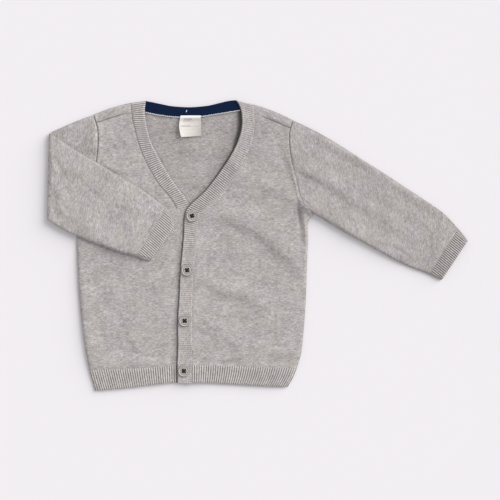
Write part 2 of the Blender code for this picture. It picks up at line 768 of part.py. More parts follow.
def front_band(name, path, band, under, neck_from):
    """A front band with its half of the back neck, folded over at the shoulder."""
    rows = []
    ribs_start = path.knots[TURN_ROW] if under else 0.0
    if under:
        for k in range(TURN_ROW):
            rows.append(band_row(path.at(path.knots[k]), band, 1, under, 0, RIB_WALL))
    for mark, relief in rib_marks(ribs_start, path.length - ROLL - 0.6, BAND_RIB):
        rows.append(band_row(path.at(mark), band, 1, under, relief, RIB_WALL))
    for distance in reversed(roll_distances()):
        wall = RIB_WALL - 0.15 * (1 - distance / ROLL)
        rows.append(band_row(path.at(path.length - distance), band, 1, under, 0, wall))
    middle = back_neck.knots[NECK_CENTRE]
    half = middle if neck_from == 0 else back_neck.length - middle
    for step in [*NECK_STOPS, half - SEAM_GAP / 2]:
        place = step if neck_from == 0 else back_neck.length - step
        wall = JERSEY + 0.1 * max(0.0, 1 - step / 8)
        rows.append(band_row(back_neck.at(place), band, -1, False, 0, wall))
    add_wall(name, rows, "rib")


def tube_marks(flats):
    """Places round a flat tube: (from which edge, distance or share, cosine, sine)."""
    quarter = [(cos(radians(a)), sin(radians(a))) for a in FOLD_STEPS]
    low_up = [("low", 1 - c, c, s) for c, s in quarter]
    high_up = [("high", 1 - c, c, s) for c, s in reversed(quarter)]
    upper = [("flat", share, 0.0, 1.0) for share in flats[0]]
    lower = [("flat", share, 0.0, -1.0) for share in reversed(flats[1])]
    high_down = [("high", 1 - c, c, -s) for c, s in quarter[1:]]
    low_down = [("low", 1 - c, c, -s) for c, s in reversed(quarter[1:])]
    return low_up + upper + high_up + high_down + lower + low_down


def tube_ring(section, marks, place, wall, reliefs=None):
    """The (outer, inner) points of one ring of a flattened tube.

    place(x, y, off, section) gives the solid point at a plan point, off by a height
    from the tube's middle layer."""
    low, high = (section.low_x, section.low_y), (section.high_x, section.high_y)
    length = hypot(high[0] - low[0], high[1] - low[1])
    half = section.height / 2
    ring = []
    for k, (edge, amount, cosine, sine) in enumerate(marks):
        along = {"low": amount * ROLL, "high": length - amount * ROLL, "flat": amount * length}[edge]
        toward = {"low": 1, "high": -1, "flat": 0}[edge]
        relief = reliefs[k] * RIB_RELIEF if reliefs else 0.0
        outer = place(section, along / length, sine * (half + relief))
        inner = place(section, (along + toward * wall * cosine) / length, sine * (half - wall))
        ring.append((outer, inner))
    return ring


def sleeve_plan(section, share, armhole):
    """The plan point on a sleeve's ring, with what is left of the armhole's curve."""
    x, y = mix((section.low_x, section.low_y), (section.high_x, section.high_y), share)
    if section.cap:
        outward = -SEAM_GAP if armhole is left_armhole else SEAM_GAP
        curved = armhole.beside(armhole.length * share, outward)
        straight = mix(armhole.at(0), armhole.at(armhole.length), share)
        x += section.cap * (curved[0] - straight[0])
        y += section.cap * (curved[1] - straight[1])
    return x, y


def lay_flat(armhole):
    """Places a ring on the floor, its upper wall following the creases."""
    def place(section, share, off):
        x, y = sleeve_plan(section, share, armhole)
        lift = crease_height(CREASES, x, y) * max(0.0, 2 * off / section.height) if off > 0 else 0.0
        return x, y, section.height / 2 + off + lift
    return place


def lay_over(section, share, off):
    """Places a ring of the forearm over the body, turned upside down by the fold."""
    x, y = sleeve_plan(section, share, None)
    body = front_height(x, y, True) - THICK if x > BODY_EDGE else 0.0
    bottom = THICK + FOREARM_CLEAR + body * ease((x - BODY_EDGE) / BODY_RISE)
    lift = crease_height(FOREARM_CREASES, x, y) * max(0.0, -2 * off / section.height)
    return x, y, bottom + section.height / 2 - off + lift


def lay_round(angle):
    """Places a ring on the turn between the two, at an angle round the fold."""
    def place(section, share, off):
        x, y = sleeve_plan(section, share, None)
        reach = FOLD_RADIUS * sin(angle) - off * sin(angle)
        z = section.height / 2 + FOLD_RADIUS * (1 - cos(angle)) + off * cos(angle)
        return x + FOLD_OUT.x * reach, y + FOLD_OUT.y * reach, z
    return place


def sections_between(table, count):
    """Sections evenly spaced along a sleeve's table, the last one included."""
    path = Path(table, between_edges)
    return [Section(*path.at(path.length * k / count)) for k in range(count + 1)]


def shifted(section, ahead, gap):
    """A section moved along the sleeve by the gap of a seam."""
    x, y = between_edges(section)
    to_x, to_y = between_edges(ahead)
    way = unit(to_x - x, to_y - y)
    low_x, low_y = section.low_x + way[0] * gap, section.low_y + way[1] * gap
    high_x, high_y = section.high_x + way[0] * gap, section.high_y + way[1] * gap
    return Section(low_x, low_y, high_x, high_y, section.cap, section.height)


def sleeve_flats(marks, armhole):
    """Shares of the armhole where a sleeve meets the corners of its front and back."""
    above = [mark / armhole.length for mark in marks[1:]]
    below = [stop / armhole.length for stop in back_stops(armhole)[1:-1]]
    return above, below


def left_sleeve(marks):
    flats = sleeve_flats(marks, left_armhole)
    sections = sections_between(LEFT_SLEEVE, LEFT_SLEEVE_STEPS)
    place = lay_flat(left_armhole)
    rings = [tube_ring(section, tube_marks(flats), place, JERSEY) for section in sections]
    add_wall("sleeve_left", rings, "jersey", ring=True)


def right_sleeve(marks):
    flats = sleeve_flats(marks, right_armhole)
    sections = sections_between(RIGHT_SLEEVE, UPPER_ARM_STEPS)
    place = lay_flat(right_armhole)
    rings = [tube_ring(section, tube_marks(flats), place, JERSEY) for section in sections]
    start, end = RIGHT_SLEEVE[-1], RIGHT_FOREARM[0]
    for angle in TURN_ANGLES:
        section = Section(*mix(start, end, angle / 180))
        rings.append(tube_ring(section, tube_marks(flats), lay_round(radians(angle)), JERSEY))
    for section in sections_between(RIGHT_FOREARM, FOREARM_STEPS):
        rings.append(tube_ring(section, tube_marks(flats), lay_over, JERSEY))
    add_wall("sleeve_right", rings, "jersey", ring=True)


def cuff(name, table, place, seen_above):
    """A ribbed cuff; its ribs run with the sleeve on the side that shows."""
    first = table[0]
    width = hypot(first.high_x - first.low_x, first.high_y - first.low_y)
    ribs = rib_marks(ROLL / width, 1 - ROLL / width, CUFF_RIB / width)[1:-1]
    ribbed_flats, plain_flats = [share for share, relief in ribs], list(CUFF_PLAIN)
    flats = (ribbed_flats, plain_flats) if seen_above else (plain_flats, ribbed_flats)
    marks = tube_marks(flats)
    levels = {share: relief for share, relief in ribs}
    reliefs = [levels.get(mark[1], 0) if mark[0] == "flat" else 0 for mark in marks]
    sections = [shifted(first, table[1], SEAM_GAP)] + [Section(*row) for row in table[1:]]
    lip = Section(*mix(table[1], table[2], CUFF_LIP))
    foot = sections[2]._replace(height=sections[2].height - CUFF_DROOP)
    plain = [0] * len(reliefs)
    rings = []
    for section, levels in ((sections[0], plain), (sections[1], reliefs), (lip, reliefs),
                            (foot, plain)):
        rings.append(tube_ring(section, marks, place, CUFF_WALL, levels))
    add_wall(name, rings, "rib", ring=True)


def neck_tape():
    """The tape that covers the inside of the back neck band."""
    rows = []
    for k in range(TAPE_STEPS + 1):
        place = TAPE_END + (back_neck.length - 2 * TAPE_END) * k / TAPE_STEPS
        section = back_neck.at(place)
        row = []
        for share in TAPE_SHARES:
            x = section[0] + (section[2] - section[0]) * share
            y = section[1] + (section[3] - section[1]) * share
            distance, inward = fold_distance(x, y, RIGHT_BAND if x < 0 else LEFT_BAND)
            pair = rolled(x, y, distance, inward, THICK, -1, JERSEY)
            base = pair[1][2] + SEAM_GAP
            row.append(((x, y, base + TAPE_WALL), (x, y, base)))
        rows.append(row)
    add_wall("neck_tape", rows, "tape")


def label():
    """A label sewn on over the tape's lower edge, its free side curling up."""
    rows = []
    for down in range(LABEL_DOWN + 1):
        y = LABEL_MIDDLE.y + LABEL_SIZE.y * (0.5 - down / LABEL_DOWN)
        row = []
        for across in range(LABEL_ACROSS + 1):
            share = across / LABEL_ACROSS
            x = LABEL_MIDDLE.x + LABEL_SIZE.x * (share - 0.5)
            over_tape = ease((y - LABEL_OVER) / LABEL_CLIMB)
            base = JERSEY + SEAM_GAP + (TAPE_WALL + SEAM_GAP) * over_tape
            loose = ease(1.6 * down / LABEL_DOWN)
            curl = LABEL_CURL * ((1 - share) ** 3 + 0.5 * share ** 6) * loose
            row.append(((x, y, base + curl + LABEL_WALL), (x, y, base + curl)))
        rows.append(row)
    add_wall("label", rows, "label")


def button_mesh():
    """A turned button with a raised rim, a dished middle and four holes."""
    outer, inner = BUTTON_WIDTH / 2, BUTTON_WIDTH / 2 - BUTTON_RIM
    profile = ((0.0, 0.0), (outer - 0.9, 0.0), (outer, 0.8), (outer, BUTTON_THICK - 0.5),
               (outer - 0.6, BUTTON_THICK), (inner + 0.3, BUTTON_THICK),
               (inner - 0.5, BUTTON_THICK - BUTTON_DISH), (0.0, BUTTON_THICK - BUTTON_DISH))
    work = bmesh.new()
    corners = [work.verts.new((r * MM, 0, z * MM)) for r, z in profile]
    edges = [work.edges.new(pair) for pair in zip(corners, corners[1:])]
    bmesh.ops.spin(work, geom=corners + edges, cent=(0, 0, 0), axis=(0, 0, 1),
                   angle=2 * pi, steps=20, use_merge=True)
    bmesh.ops.remove_doubles(work, verts=work.verts[:], dist=0.00001)
    bmesh.ops.recalc_face_normals(work, faces=work.faces[:])
    mesh = bpy.data.meshes.new("button")
    work.to_mesh(mesh)
    work.free()
    return mesh


def hole_cutter(place, base):
    """Four short rods that cut a button's holes."""
    work = bmesh.new()
    for x, y in ((1, 1), (-1, 1), (-1, -1), (1, -1)):
        hole = bmesh.ops.create_cone(work, cap_ends=True, segments=6, radius1=HOLE_WIDTH / 2 * MM,
                                     radius2=HOLE_WIDTH / 2 * MM, depth=3 * BUTTON_THICK * MM)
        bmesh.ops.translate(work, verts=hole["verts"],
                            vec=(x * HOLE_SPREAD * MM, y * HOLE_SPREAD * MM, 0))
    mesh = bpy.data.meshes.new("holes")
    work.to_mesh(mesh)
    work.free()
    cutter = bpy.data.objects.new("holes", mesh)
    bpy.context.scene.collection.objects.link(cutter)
    cutter.location = (place.x * MM, place.y * MM, base * MM)
    cutter.hide_render = True
    cutter.display_type = "WIRE"
    return cutter


def add_buttons():
    for number, place in enumerate(BUTTONS, 1):
        base = front_height(place.x, place.y, False) + RIB_RELIEF + SEAM_GAP
        piece = add_object(f"button_{number}", button_mesh(), "button")
        piece.location = (place.x * MM, place.y * MM, base * MM)
        holes = piece.modifiers.new("holes", "BOOLEAN")
        holes.operation = "DIFFERENCE"
        holes.object = hole_cutter(place, base)


def main():
    for item in list(bpy.data.objects):
        bpy.data.objects.remove(item, do_unlink=True)
    left_marks = front_panel("front_left", LEFT_BAND, left_side, left_armhole, False)
    right_marks = front_panel("front_right", RIGHT_BAND, right_side, right_armhole, True)
    back_panel()
    front_hem("hem_front_left", left_side, SEAM_GAP, False)
    front_hem("hem_front_right", right_side, -12.8 - SEAM_GAP, True)
    back_hem()
    front_band("band_left", left_band, LEFT_BAND, False, 1)
    front_band("band_right", right_band, RIGHT_BAND, True, 0)
    left_sleeve(left_marks)
    right_sleeve(right_marks)
    cuff("cuff_left", LEFT_CUFF, lay_flat(left_armhole), True)
    cuff("cuff_right", RIGHT_CUFF, lay_over, False)
    neck_tape()
    label()
    add_buttons()


main()
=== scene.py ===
from bisect import bisect
from math import acos, copysign, cos, dist, hypot, pi, radians, sin, sqrt

import bmesh
import bpy
from mathutils import Matrix, Vector, noise


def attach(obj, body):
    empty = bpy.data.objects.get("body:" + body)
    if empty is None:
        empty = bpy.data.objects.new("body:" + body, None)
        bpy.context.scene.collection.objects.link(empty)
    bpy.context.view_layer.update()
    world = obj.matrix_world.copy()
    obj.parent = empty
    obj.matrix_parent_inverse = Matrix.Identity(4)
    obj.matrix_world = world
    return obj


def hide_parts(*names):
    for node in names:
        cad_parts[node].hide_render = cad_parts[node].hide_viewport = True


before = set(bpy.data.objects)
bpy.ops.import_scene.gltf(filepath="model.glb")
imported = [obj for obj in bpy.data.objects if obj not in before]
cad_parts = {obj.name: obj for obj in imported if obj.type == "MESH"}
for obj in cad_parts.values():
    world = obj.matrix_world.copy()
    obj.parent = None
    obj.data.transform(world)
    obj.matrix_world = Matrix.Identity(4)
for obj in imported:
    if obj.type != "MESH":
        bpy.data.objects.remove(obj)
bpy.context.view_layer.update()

# The tables are in millimetres, as seen from above: x to the wearer's left, y to the neck.
mm = 0.001

# how the cloth lies
lay = {
    "jersey": 1.1,       # wall of the panels
    "thick": 4.4,        # back and front on each other
    "roll": 3.4,         # how far in from a folded edge the cloth turns level
    "rollSteps": 7,      # faces round a folded edge's upper half
    "gap": 0.06,         # left open between two sewn pieces
    "grid": 1.55,        # size of a panel's faces
    "droop": 0.45,       # the cloth sinks this much more towards a folded edge
    "droopWidth": 16.0,  # over this distance from it
    "yoke": 10.0,        # how far the back reaches over the shoulder
    "hemFade": 40.0,     # height above the hem over which the courses turn straight
    "shoulderBow": 1.3,  # how far the fold of the shoulder bows out
    "frontColumns": 84,
    "seamRows": (0, 0.3, 0.65),  # rows close to a seam, in steps of the grid
    "troughFade": 8.0,   # from an edge, the underside's troughs set in over this distance
}
lap = {
    "sink": 1.6,         # how much lower the right front lies under the left band
    "reach": 15.0,       # and over this distance from that band
    "rise": 0.55,        # how much higher the left front lies there
    "riseReach": 40.0,   # to this distance from the band's edge
    "riseFade": 20.0,
    "riseTop": 110.0,    # and up to here
    "topFade": 60.0,
    "hemDroop": 0.9,     # how much lower the fronts' free hem lies
    "hemDepth": 21.0,
    "width": 17.0,       # but not near the bands
    "droopFade": 25.0,
}
seam = {
    "sewn": 1.0,         # depth of the groove along a sewn seam
    "knitted": 0.12,     # and where ribbing is knitted on
    "picked": 0.35,      # and where it is picked up from an edge
    "joined": 0.28,      # the left band's
    "tuckWidth": 1.2,
    "strongFrom": 0.42,  # share of an armhole above which its seam shows well
    "welt": 0.6,         # the seam allowance shows as a low welt beside the armhole
    "weltAt": 2.7,
    "weltWidth": 1.8,
    "weltRise": 10.0,    # length up the armhole over which it sets in
    "neckFade": 12.0,    # length over which the shoulder's seam fades towards the neck
    "coverFade": 8.0,    # and over which the right band's seam comes out
}


# curves

def ease(share):
    share = min(max(share, 0.0), 1.0)
    return share * share * (3 - 2 * share)


def mix(a, b, share):
    return tuple(p + (q - p) * share for p, q in zip(a, b))


def unit(x, y):
    length = hypot(x, y)
    return x / length, y / length


def toward(a, b):
    return unit(b[0] - a[0], b[1] - a[1])


def moved(point, way, distance):
    return point[0] + way[0] * distance, point[1] + way[1] * distance


def rounded(distance, depth, width):
    # how far a free edge is rounded off: depth at the edge itself, nothing at width from it
    return depth * max(0.0, 1 - distance / width) ** 2


def between(section, share):
    # a point between a section's two edges
    return mix(section[:2], section[2:4], share)


def widthOf(section):
    return dist(section[:2], section[2:4])


def onPlan(row):
    return row[0], row[1]


def betweenEdges(row):
    return (row[0] + row[2]) / 2, (row[1] + row[3]) / 2


def smoothRows(rows, gauge, steps):
    # a cubic curve through the rows, whose slopes follow the rows' spacing
    spans = [max(dist(gauge(a), gauge(b)), 0.5) for a, b in zip(rows, rows[1:])]
    slopes = []
    for k in range(len(rows)):
        near, far = max(k - 1, 0), min(k, len(spans) - 1)
        into = [(q - p) / spans[near] for p, q in zip(rows[near], rows[near + 1])]
        out = [(q - p) / spans[far] for p, q in zip(rows[far], rows[far + 1])]
        weight = spans[near] / (spans[near] + spans[far])
        slopes.append([p * (1 - weight) + q * weight for p, q in zip(into, out)])
    curve = []
    for k, span in enumerate(spans):
        for step in range(steps):
            t = step / steps
            start, end = (1 + 2 * t) * (1 - t) ** 2, t * t * (3 - 2 * t)
            lead, trail = t * (1 - t) ** 2 * span, t * t * (t - 1) * span
            curve.append(tuple(start * p + lead * m + end * q + trail * n for p, m, q, n
                               in zip(rows[k], slopes[k], rows[k + 1], slopes[k + 1])))
    curve.append(tuple(rows[-1]))
    return curve


class Curve:
    # a smooth curve through a table's rows, read by the distance along it

    def __init__(self, rows, gauge=onPlan, steps=8):
        self.rows = smoothRows(rows, gauge, steps)
        self.marks = [0.0]
        for a, b in zip(self.rows, self.rows[1:]):
            self.marks.append(self.marks[-1] + dist(gauge(a), gauge(b)))
        self.knots = self.marks[::steps]
        self.length = self.marks[-1]
        self.columns = list(zip(*self.rows))

    def at(self, distance):
        place = min(max(distance, 0.0), self.length)
        k = min(max(bisect(self.marks, place), 1), len(self.marks) - 1)
        span = self.marks[k] - self.marks[k - 1]
        return mix(self.rows[k - 1], self.rows[k], (place - self.marks[k - 1]) / span)

    def heading(self, distance):
        place = min(max(distance, 0.4), self.length - 0.4)
        return toward(self.at(place - 0.4), self.at(place + 0.4))

    def beside(self, distance, offset):
        x, y = self.at(distance)
        aheadX, aheadY = self.heading(distance)
        return x - aheadY * offset, y + aheadX * offset

    def byColumn(self, column, value):
        heights = self.columns[column]
        k = min(max(bisect(heights, value), 1), len(heights) - 1)
        share = (value - heights[k - 1]) / (heights[k] - heights[k - 1])
        return mix(self.rows[k - 1], self.rows[k], min(max(share, 0.0), 1.0))


# outlines of the body, columns x and y

leftSideRows = (
    (109.9, -157.7), (116.4, -147.0), (120.6, -135.7), (125.6, -119.0), (127.9, -99.0),
    (130.8, -61.0), (132.1, -22.0), (133.5, 12.0), (134.6, 35.0), (140.0, 42.2),
)
rightSideRows = (
    (-111.2, -162.2), (-115.1, -149.5), (-118.3, -137.8), (-122.0, -120.0), (-125.0, -100.0),
    (-129.5, -58.0), (-131.8, -18.0), (-132.9, 12.0), (-134.4, 34.0), (-140.5, 41.5),
)
leftArmholeRows = (
    (140.0, 42.2), (134.0, 47.4), (128.6, 53.6), (125.0, 61.0), (120.6, 80.0),
    (115.0, 102.5), (112.6, 120.0), (112.6, 136.0), (116.2, 149.4),
)
rightArmholeRows = (
    (-140.5, 41.5), (-132.5, 45.2), (-127.0, 51.5), (-122.6, 60.0), (-116.0, 80.0),
    (-110.2, 103.0), (-107.9, 122.0), (-108.6, 140.0), (-113.3, 155.8),
)
hemTopRows = (
    (-121.0, -138.0), (-68.5, -136.4), (-20.9, -133.4), (0.9, -132.8), (46.5, -133.4),
    (86.0, -135.2), (123.0, -136.0),
)
hemFootRows = (
    (-113.0, -162.4), (-68.5, -158.2), (-25.0, -153.0), (-9.0, -152.6), (46.5, -154.7),
    (86.0, -157.1), (113.0, -157.8),
)

# bands, columns x and y of the free edge, x and y of the seam
leftBandRows = (
    (-17.2, -152.4, 0.0, -154.0), (-17.5, -133.0, 0.0, -133.0), (-16.8, -107.0, -0.1, -107.0),
    (-17.0, -81.0, -0.1, -81.0), (-15.4, -55.0, 0.1, -55.0), (-14.2, -30.0, 1.6, -30.0),
    (-12.1, -4.0, 4.6, -4.0), (-10.1, 18.0, 6.1, 16.0), (-9.1, 38.0, 7.1, 33.0),
    (-7.2, 46.2, 8.8, 40.0), (-2.3, 52.6, 12.3, 45.8), (5.1, 59.4, 17.4, 51.2),
    (15.8, 69.6, 28.0, 60.6), (24.4, 80.4, 37.2, 70.4), (33.0, 92.2, 46.6, 82.2),
    (40.8, 103.8, 54.9, 94.4), (47.6, 115.4, 62.1, 107.6), (52.9, 127.6, 68.4, 121.6),
    (56.2, 140.0, 71.8, 137.0), (56.8, 152.0, 72.0, 150.0), (55.0, 163.6, 71.6, 158.6),
    (50.6, 172.4, 71.3, 167.6),
)
rightBandRows = (
    (2.6, -150.5, -12.8, -150.5), (2.6, -133.5, -12.8, -133.5), (2.6, -107.0, -12.8, -107.0),
    (2.6, -81.0, -12.8, -81.0), (3.0, -55.0, -12.4, -55.0), (3.0, -30.0, -12.6, -30.0),
    (1.2, -8.0, -14.4, -8.0), (0.0, 14.0, -15.8, 12.0), (0.6, 34.0, -15.8, 32.0),
    (-1.0, 47.0, -16.2, 43.0), (-6.2, 57.2, -20.0, 52.6), (-15.6, 70.2, -28.0, 63.8),
    (-25.4, 84.2, -37.6, 75.2), (-30.6, 92.8, -43.9, 85.0), (-35.6, 101.2, -49.6, 95.0),
    (-40.6, 110.2, -55.0, 106.0), (-45.3, 119.4, -59.6, 117.0), (-49.4, 129.6, -63.2, 129.6),
    (-52.0, 141.0, -66.3, 141.6), (-53.9, 152.0, -68.6, 152.0), (-54.3, 162.0, -69.4, 159.6),
    (-53.2, 171.6, -69.9, 169.6),
)
backNeckRows = (
    (-53.2, 171.6, -69.9, 169.6), (-52.9, 171.2, -65.6, 163.6), (-51.2, 170.8, -58.6, 160.0),
    (-45.6, 169.8, -49.4, 157.6), (-36.8, 167.9, -39.8, 155.7), (-25.3, 165.6, -27.4, 153.9),
    (-13.8, 164.5, -14.8, 153.0), (-2.3, 164.1, -2.3, 152.8), (9.2, 164.8, 9.8, 153.7),
    (20.7, 166.3, 22.0, 155.4), (32.2, 169.1, 34.2, 157.4), (41.6, 171.2, 46.0, 159.4),
    (47.8, 172.0, 57.2, 161.2), (50.0, 172.2, 66.2, 163.4), (50.6, 172.4, 71.3, 167.6),
)
hemRow, turnRow = 1, 8       # rows of a band where its panel begins, and turns into the V
coverRow, neckCentre = 9, 7  # above where the left band covers the right one; middle of the neck
sideHemRow = 2               # row of a side where its hem is joined

# sleeves, columns x and y of the lower edge, x and y of the upper one, share of the
# armhole's curve, height
leftSleeveRows = (
    (140.0, 42.2, 116.2, 149.4, 1.0, 4.4), (156.4, 31.6, 141.5, 137.2, 0.6, 4.4),
    (174.5, 20.7, 166.0, 123.2, 0.2, 4.3), (195.0, 9.5, 192.0, 106.6, 0.0, 4.2),
    (215.5, -1.9, 218.0, 90.3, 0.0, 4.1), (236.0, -12.8, 244.5, 72.8, 0.0, 4.0),
    (256.0, -21.4, 272.0, 54.8, 0.0, 4.0), (266.0, -25.0, 290.5, 41.5, 0.0, 3.9),
    (272.8, -27.9, 306.4, 24.8, 0.0, 3.8),
)
leftCuffRows = (
    (272.8, -27.9, 306.4, 24.8, 0.0, 3.8), (280.4, -31.6, 312.4, 17.4, 0.0, 4.0),
    (287.3, -34.4, 317.4, 10.6, 0.0, 4.3),
)
rightUpperRows = (
    (-140.5, 41.5, -113.3, 155.8, 1.0, 4.4), (-150.0, 38.6, -130.0, 149.6, 0.5, 4.0),
    (-162.8, 36.5, -160.5, 136.6, 0.0, 3.4),
)
rightForearmRows = (
    (-162.8, 32.6, -160.5, 132.4, 0.0, 3.4), (-150.4, 25.0, -147.6, 123.4, 0.0, 3.4),
    (-134.2, 17.2, -127.0, 110.4, 0.0, 3.4), (-114.0, 8.6, -103.6, 97.0, 0.0, 3.4),
    (-94.0, 1.6, -80.0, 82.6, 0.0, 3.4), (-76.4, -4.6, -55.0, 67.4, 0.0, 3.3),
    (-64.0, -7.4, -29.4, 48.4, 0.0, 3.2),
)
rightCuffRows = (
    (-64.0, -7.4, -29.4, 48.4, 0.0, 3.2), (-56.0, -10.8, -22.8, 39.6, 0.0, 3.2),
    (-47.5, -12.4, -17.9, 29.4, 0.0, 3.0),
)

hemTop, hemFoot = Curve(hemTopRows), Curve(hemFootRows)
leftSide, rightSide = Curve(leftSideRows), Curve(rightSideRows)
leftArmhole, rightArmhole = Curve(leftArmholeRows), Curve(rightArmholeRows)
leftBand, rightBand = Curve(leftBandRows, betweenEdges), Curve(rightBandRows, betweenEdges)
backNeck = Curve(backNeckRows, betweenEdges)
leftSeam = Curve([row[2:] for row in leftBandRows])
rightSeam = Curve([row[2:] for row in rightBandRows])
neckSeam = Curve([row[2:] for row in backNeckRows])

# creases, columns x and y of the start, x and y of the end, half width, height, and for a bent
# one how far it bows to its left and how much narrower its right flank is

mainCreases = (
    (10, 52, 132, -28, 21, 2.95, 14, 0.2), (58, 14, 122, -34, 13, -0.5, 6, 0.0),
    (42, 82, 134, 53, 15.5, 1.45, 5, 0.3), (108, 44, 104, -10, 14, 0.4, 0, 0.0),
    (2, -28, 94, -69, 15, 2.1, 2, 0.15), (24, -58, 86, -88, 14, -0.7, 0, 0.0),
    (1, -52, 0.5, -150, 6.5, 0.55, 0, 0.0), (8, 44, 1, -48, 9, 0.75, 0, -0.3),
    (120, 52, 196, 12, 12, 1.4, 0, 0.4),
    (6, -78, 40, -93, 9, 1.2, 0, 0.3), (122, 58, 128, 6, 4.5, -1.3, -1, 0.0),
    (133, 38, 131, -8, 5, 1.3, 0, 0.0), (42, 92, 60, 162, 15, 2.2, 3, 0.0),
    (-128, 2, -117, -137, 11, 1.5, -3, 0.45), (-98, -30, -60, -100, 20, 0.8, 0, 0.2),
    (-96, -131, -28, -129, 6, 1.0, 0, 0.0), (-114, 158, -109, 110, 14.5, 1.85, 0, -0.17),
    (98, 132, 122, 58, 6.5, -0.8, -3, 0.0),
    (118, 58, 246, -16, 15.5, 2.4, 0, 0.55), (116, 106, 180, 64, 12.5, 1.9, 0, 0.12),
    (166, 73, 254, 15, 12, 1.3, 0, 0.12), (124, 141, 284, 42, 7, 1.2, 3, -0.4),
)
fineCreases = (
    (36, 27, 74, 12, 5, -0.45), (40, 34, 80, 19, 4, 0.35), (84, 2, 116, -14, 4, 0.25),
    (122, 54, 125, 30, 2.8, -1.3), (128, 50, 130, 22, 2.6, 0.9),
    (123, 62, 134, 46, 2.2, 0.8), (119, 60, 131, 44, 1.8, -0.4), (128, 61, 138, 50, 1.8, 0.7),
    (54, 58, 108, 60, 5, -0.3), (3, -90, 28, -105, 5, -0.9),
    (60, -104, 54, -132, 9, 1.3, 0, -0.3), (40, -97, 58, -120, 5, 0.5), (2, -129, 22, -128, 4, -1.0),
    (26, -130, 58, -128, 4, -1.7), (80, -132, 114, -122, 5, -0.8), (54, -112, 70, -118, 4, -0.4),
    (-85, -83, -76, -100, 6, -0.4), (-78, -103, -65, -116, 4.5, -0.7), (-68, -84, -56, -99, 4.5, -0.3),
    (-88, -114, -34, -127, 4, -0.5), (-112, -68, -98, -116, 5, -0.4), (-104, -20, -92, -60, 5, -0.4),
    (14, -52, 50, -66, 5, -0.3), (90, -60, 118, -74, 5, -0.4),
    (84, -104, 116, -118, 5, -0.4), (62, 110, 96, 124, 5, 0.25), (80, 86, 112, 92, 4, -0.4),
    (-94, 140, -84, 122, 5, -0.4), (-113, 140, -112, 112, 3, 0.5),
    (-100, 96, -70, 88, 5, 1.1), (-78, 130, -62, 100, 6, 0.5), (-48, -32, -34, -42, 4.5, -0.6),
    (206, 14, 236, 6, 4.5, 0.4), (258, 40, 282, 16, 4, 0.3), (212, 80, 236, 62, 5, 0.3),
    (150, 118, 176, 100, 5, -0.3), (128, 92, 152, 77, 6, 0.95), (113, 122, 121, 98, 5.5, 0.35),
    (120, 94, 130, 86, 2, 0.4), (121, 84, 133, 76, 2, 0.4),
    (118, 74, 130, 66, 2, 0.3), (188, 100, 210, 84, 5, -0.5), (226, 6, 250, -8, 4, -0.4),
)
mainForearmCreases = (
    (-132, 20, -50, -11, 14.5, 2.5, 0, 0.55), (-158, 76, -146, 36, 10, 1.2, 0, 0.3),
    (-150, 100, -118, 82, 12, 0.6, 0, 0.3), (-98, 62, -62, 24, 15, 0.3, 0, 0.0),
)
fineForearmCreases = (
    (-158, 108, -146, 80, 5, -0.6), (-160, 60, -130, 38, 4.5, -0.3), (-116, 76, -88, 32, 5, -0.3),
    (-106, 40, -76, 22, 4.5, -0.4), (-130, 84, -112, 60, 4, -0.5), (-92, 52, -70, 42, 4.5, -0.5),
    (-140, 66, -124, 52, 4, -0.4),
)
backCreases = (        # of the underside, where the cloth stands a little off the floor
    (-96, 60, -20, 20, 9, 0.45), (20, 96, 92, 60, 8, 0.4), (-60, -30, 30, -64, 10, 0.5),
    (60, -10, 112, -58, 8, 0.45), (-104, -70, -60, -112, 7, 0.4), (30, -96, 84, -116, 8, 0.4),
    (-30, 120, 30, 108, 7, 0.35), (170, 60, 214, 30, 7, 0.4), (230, 40, 270, 8, 6, 0.35),
)


def creaseHeight(table, x, y):
    total = 0.0
    for startX, startY, endX, endY, width, height, *bend in table:
        bow, lean = bend or (0.0, 0.0)
        alongX, alongY = endX - startX, endY - startY
        length = hypot(alongX, alongY)
        share = ((x - startX) * alongX + (y - startY) * alongY) / length ** 2
        if 0 < share < 1:
            off = ((x - startX) * alongY - (y - startY) * alongX) / length
            off += bow * 4 * share * (1 - share) + 0.12 * width * sin(9 * share + startX)
            reach = width * (1 - lean if off > 0 else 1 + lean)
            if abs(off) < reach:
                fade = 1 - (2 * share - 1) ** 4
                total += height * fade * (1 - (off / reach) ** 2) ** 2
    return total


def ripple(x, y, layer=0.0):
    # the slight unevenness of knitted cloth that lies loose
    broad = noise.noise(Vector((x / 34, y / 34, layer)))
    small = noise.noise(Vector((x / 9, y / 9, layer + 7)))
    return 0.32 * broad + 0.1 * small


def looseHeight(x, y):
    # how far the folds and the unevenness lift the upper layer
    return creaseHeight(mainCreases, x, y) + creaseHeight(fineCreases, x, y) + ripple(x, y)


def frontBase(x, y, under):
    # height of the fronts' upper face, without its finer creases
    reach = leftBand.byColumn(1, y)[0] - x
    height = lay["thick"] + creaseHeight(mainCreases, x, y)
    if under:
        height -= lap["sink"] * ease(1 - reach / lap["reach"])
    else:
        height += (lap["rise"] * ease((lap["riseReach"] + reach) / lap["riseFade"])
                   * ease((lap["riseTop"] - y) / lap["topFade"]))
    hemShare = ease((hemTop.byColumn(0, x)[1] - y) / lap["hemDepth"])
    return height - lap["hemDroop"] * hemShare * ease((abs(reach) - lap["width"]) / lap["droopFade"])


def frontHeight(x, y, under):
    return frontBase(x, y, under) + creaseHeight(fineCreases, x, y) + ripple(x, y)


def rollAngles():
    steps = lay["rollSteps"]
    return [radians(90 * k / steps) for k in range(steps + 1)]


def rollDistances():
    return [lay["roll"] * (1 - cos(angle)) for angle in rollAngles()]


def foldTurn(distance):
    # cosine and sine of how far the cloth has turned at this distance from a folded edge
    cosine = max(0.0, 1 - distance / lay["roll"])
    return cosine, sqrt(1 - cosine * cosine)


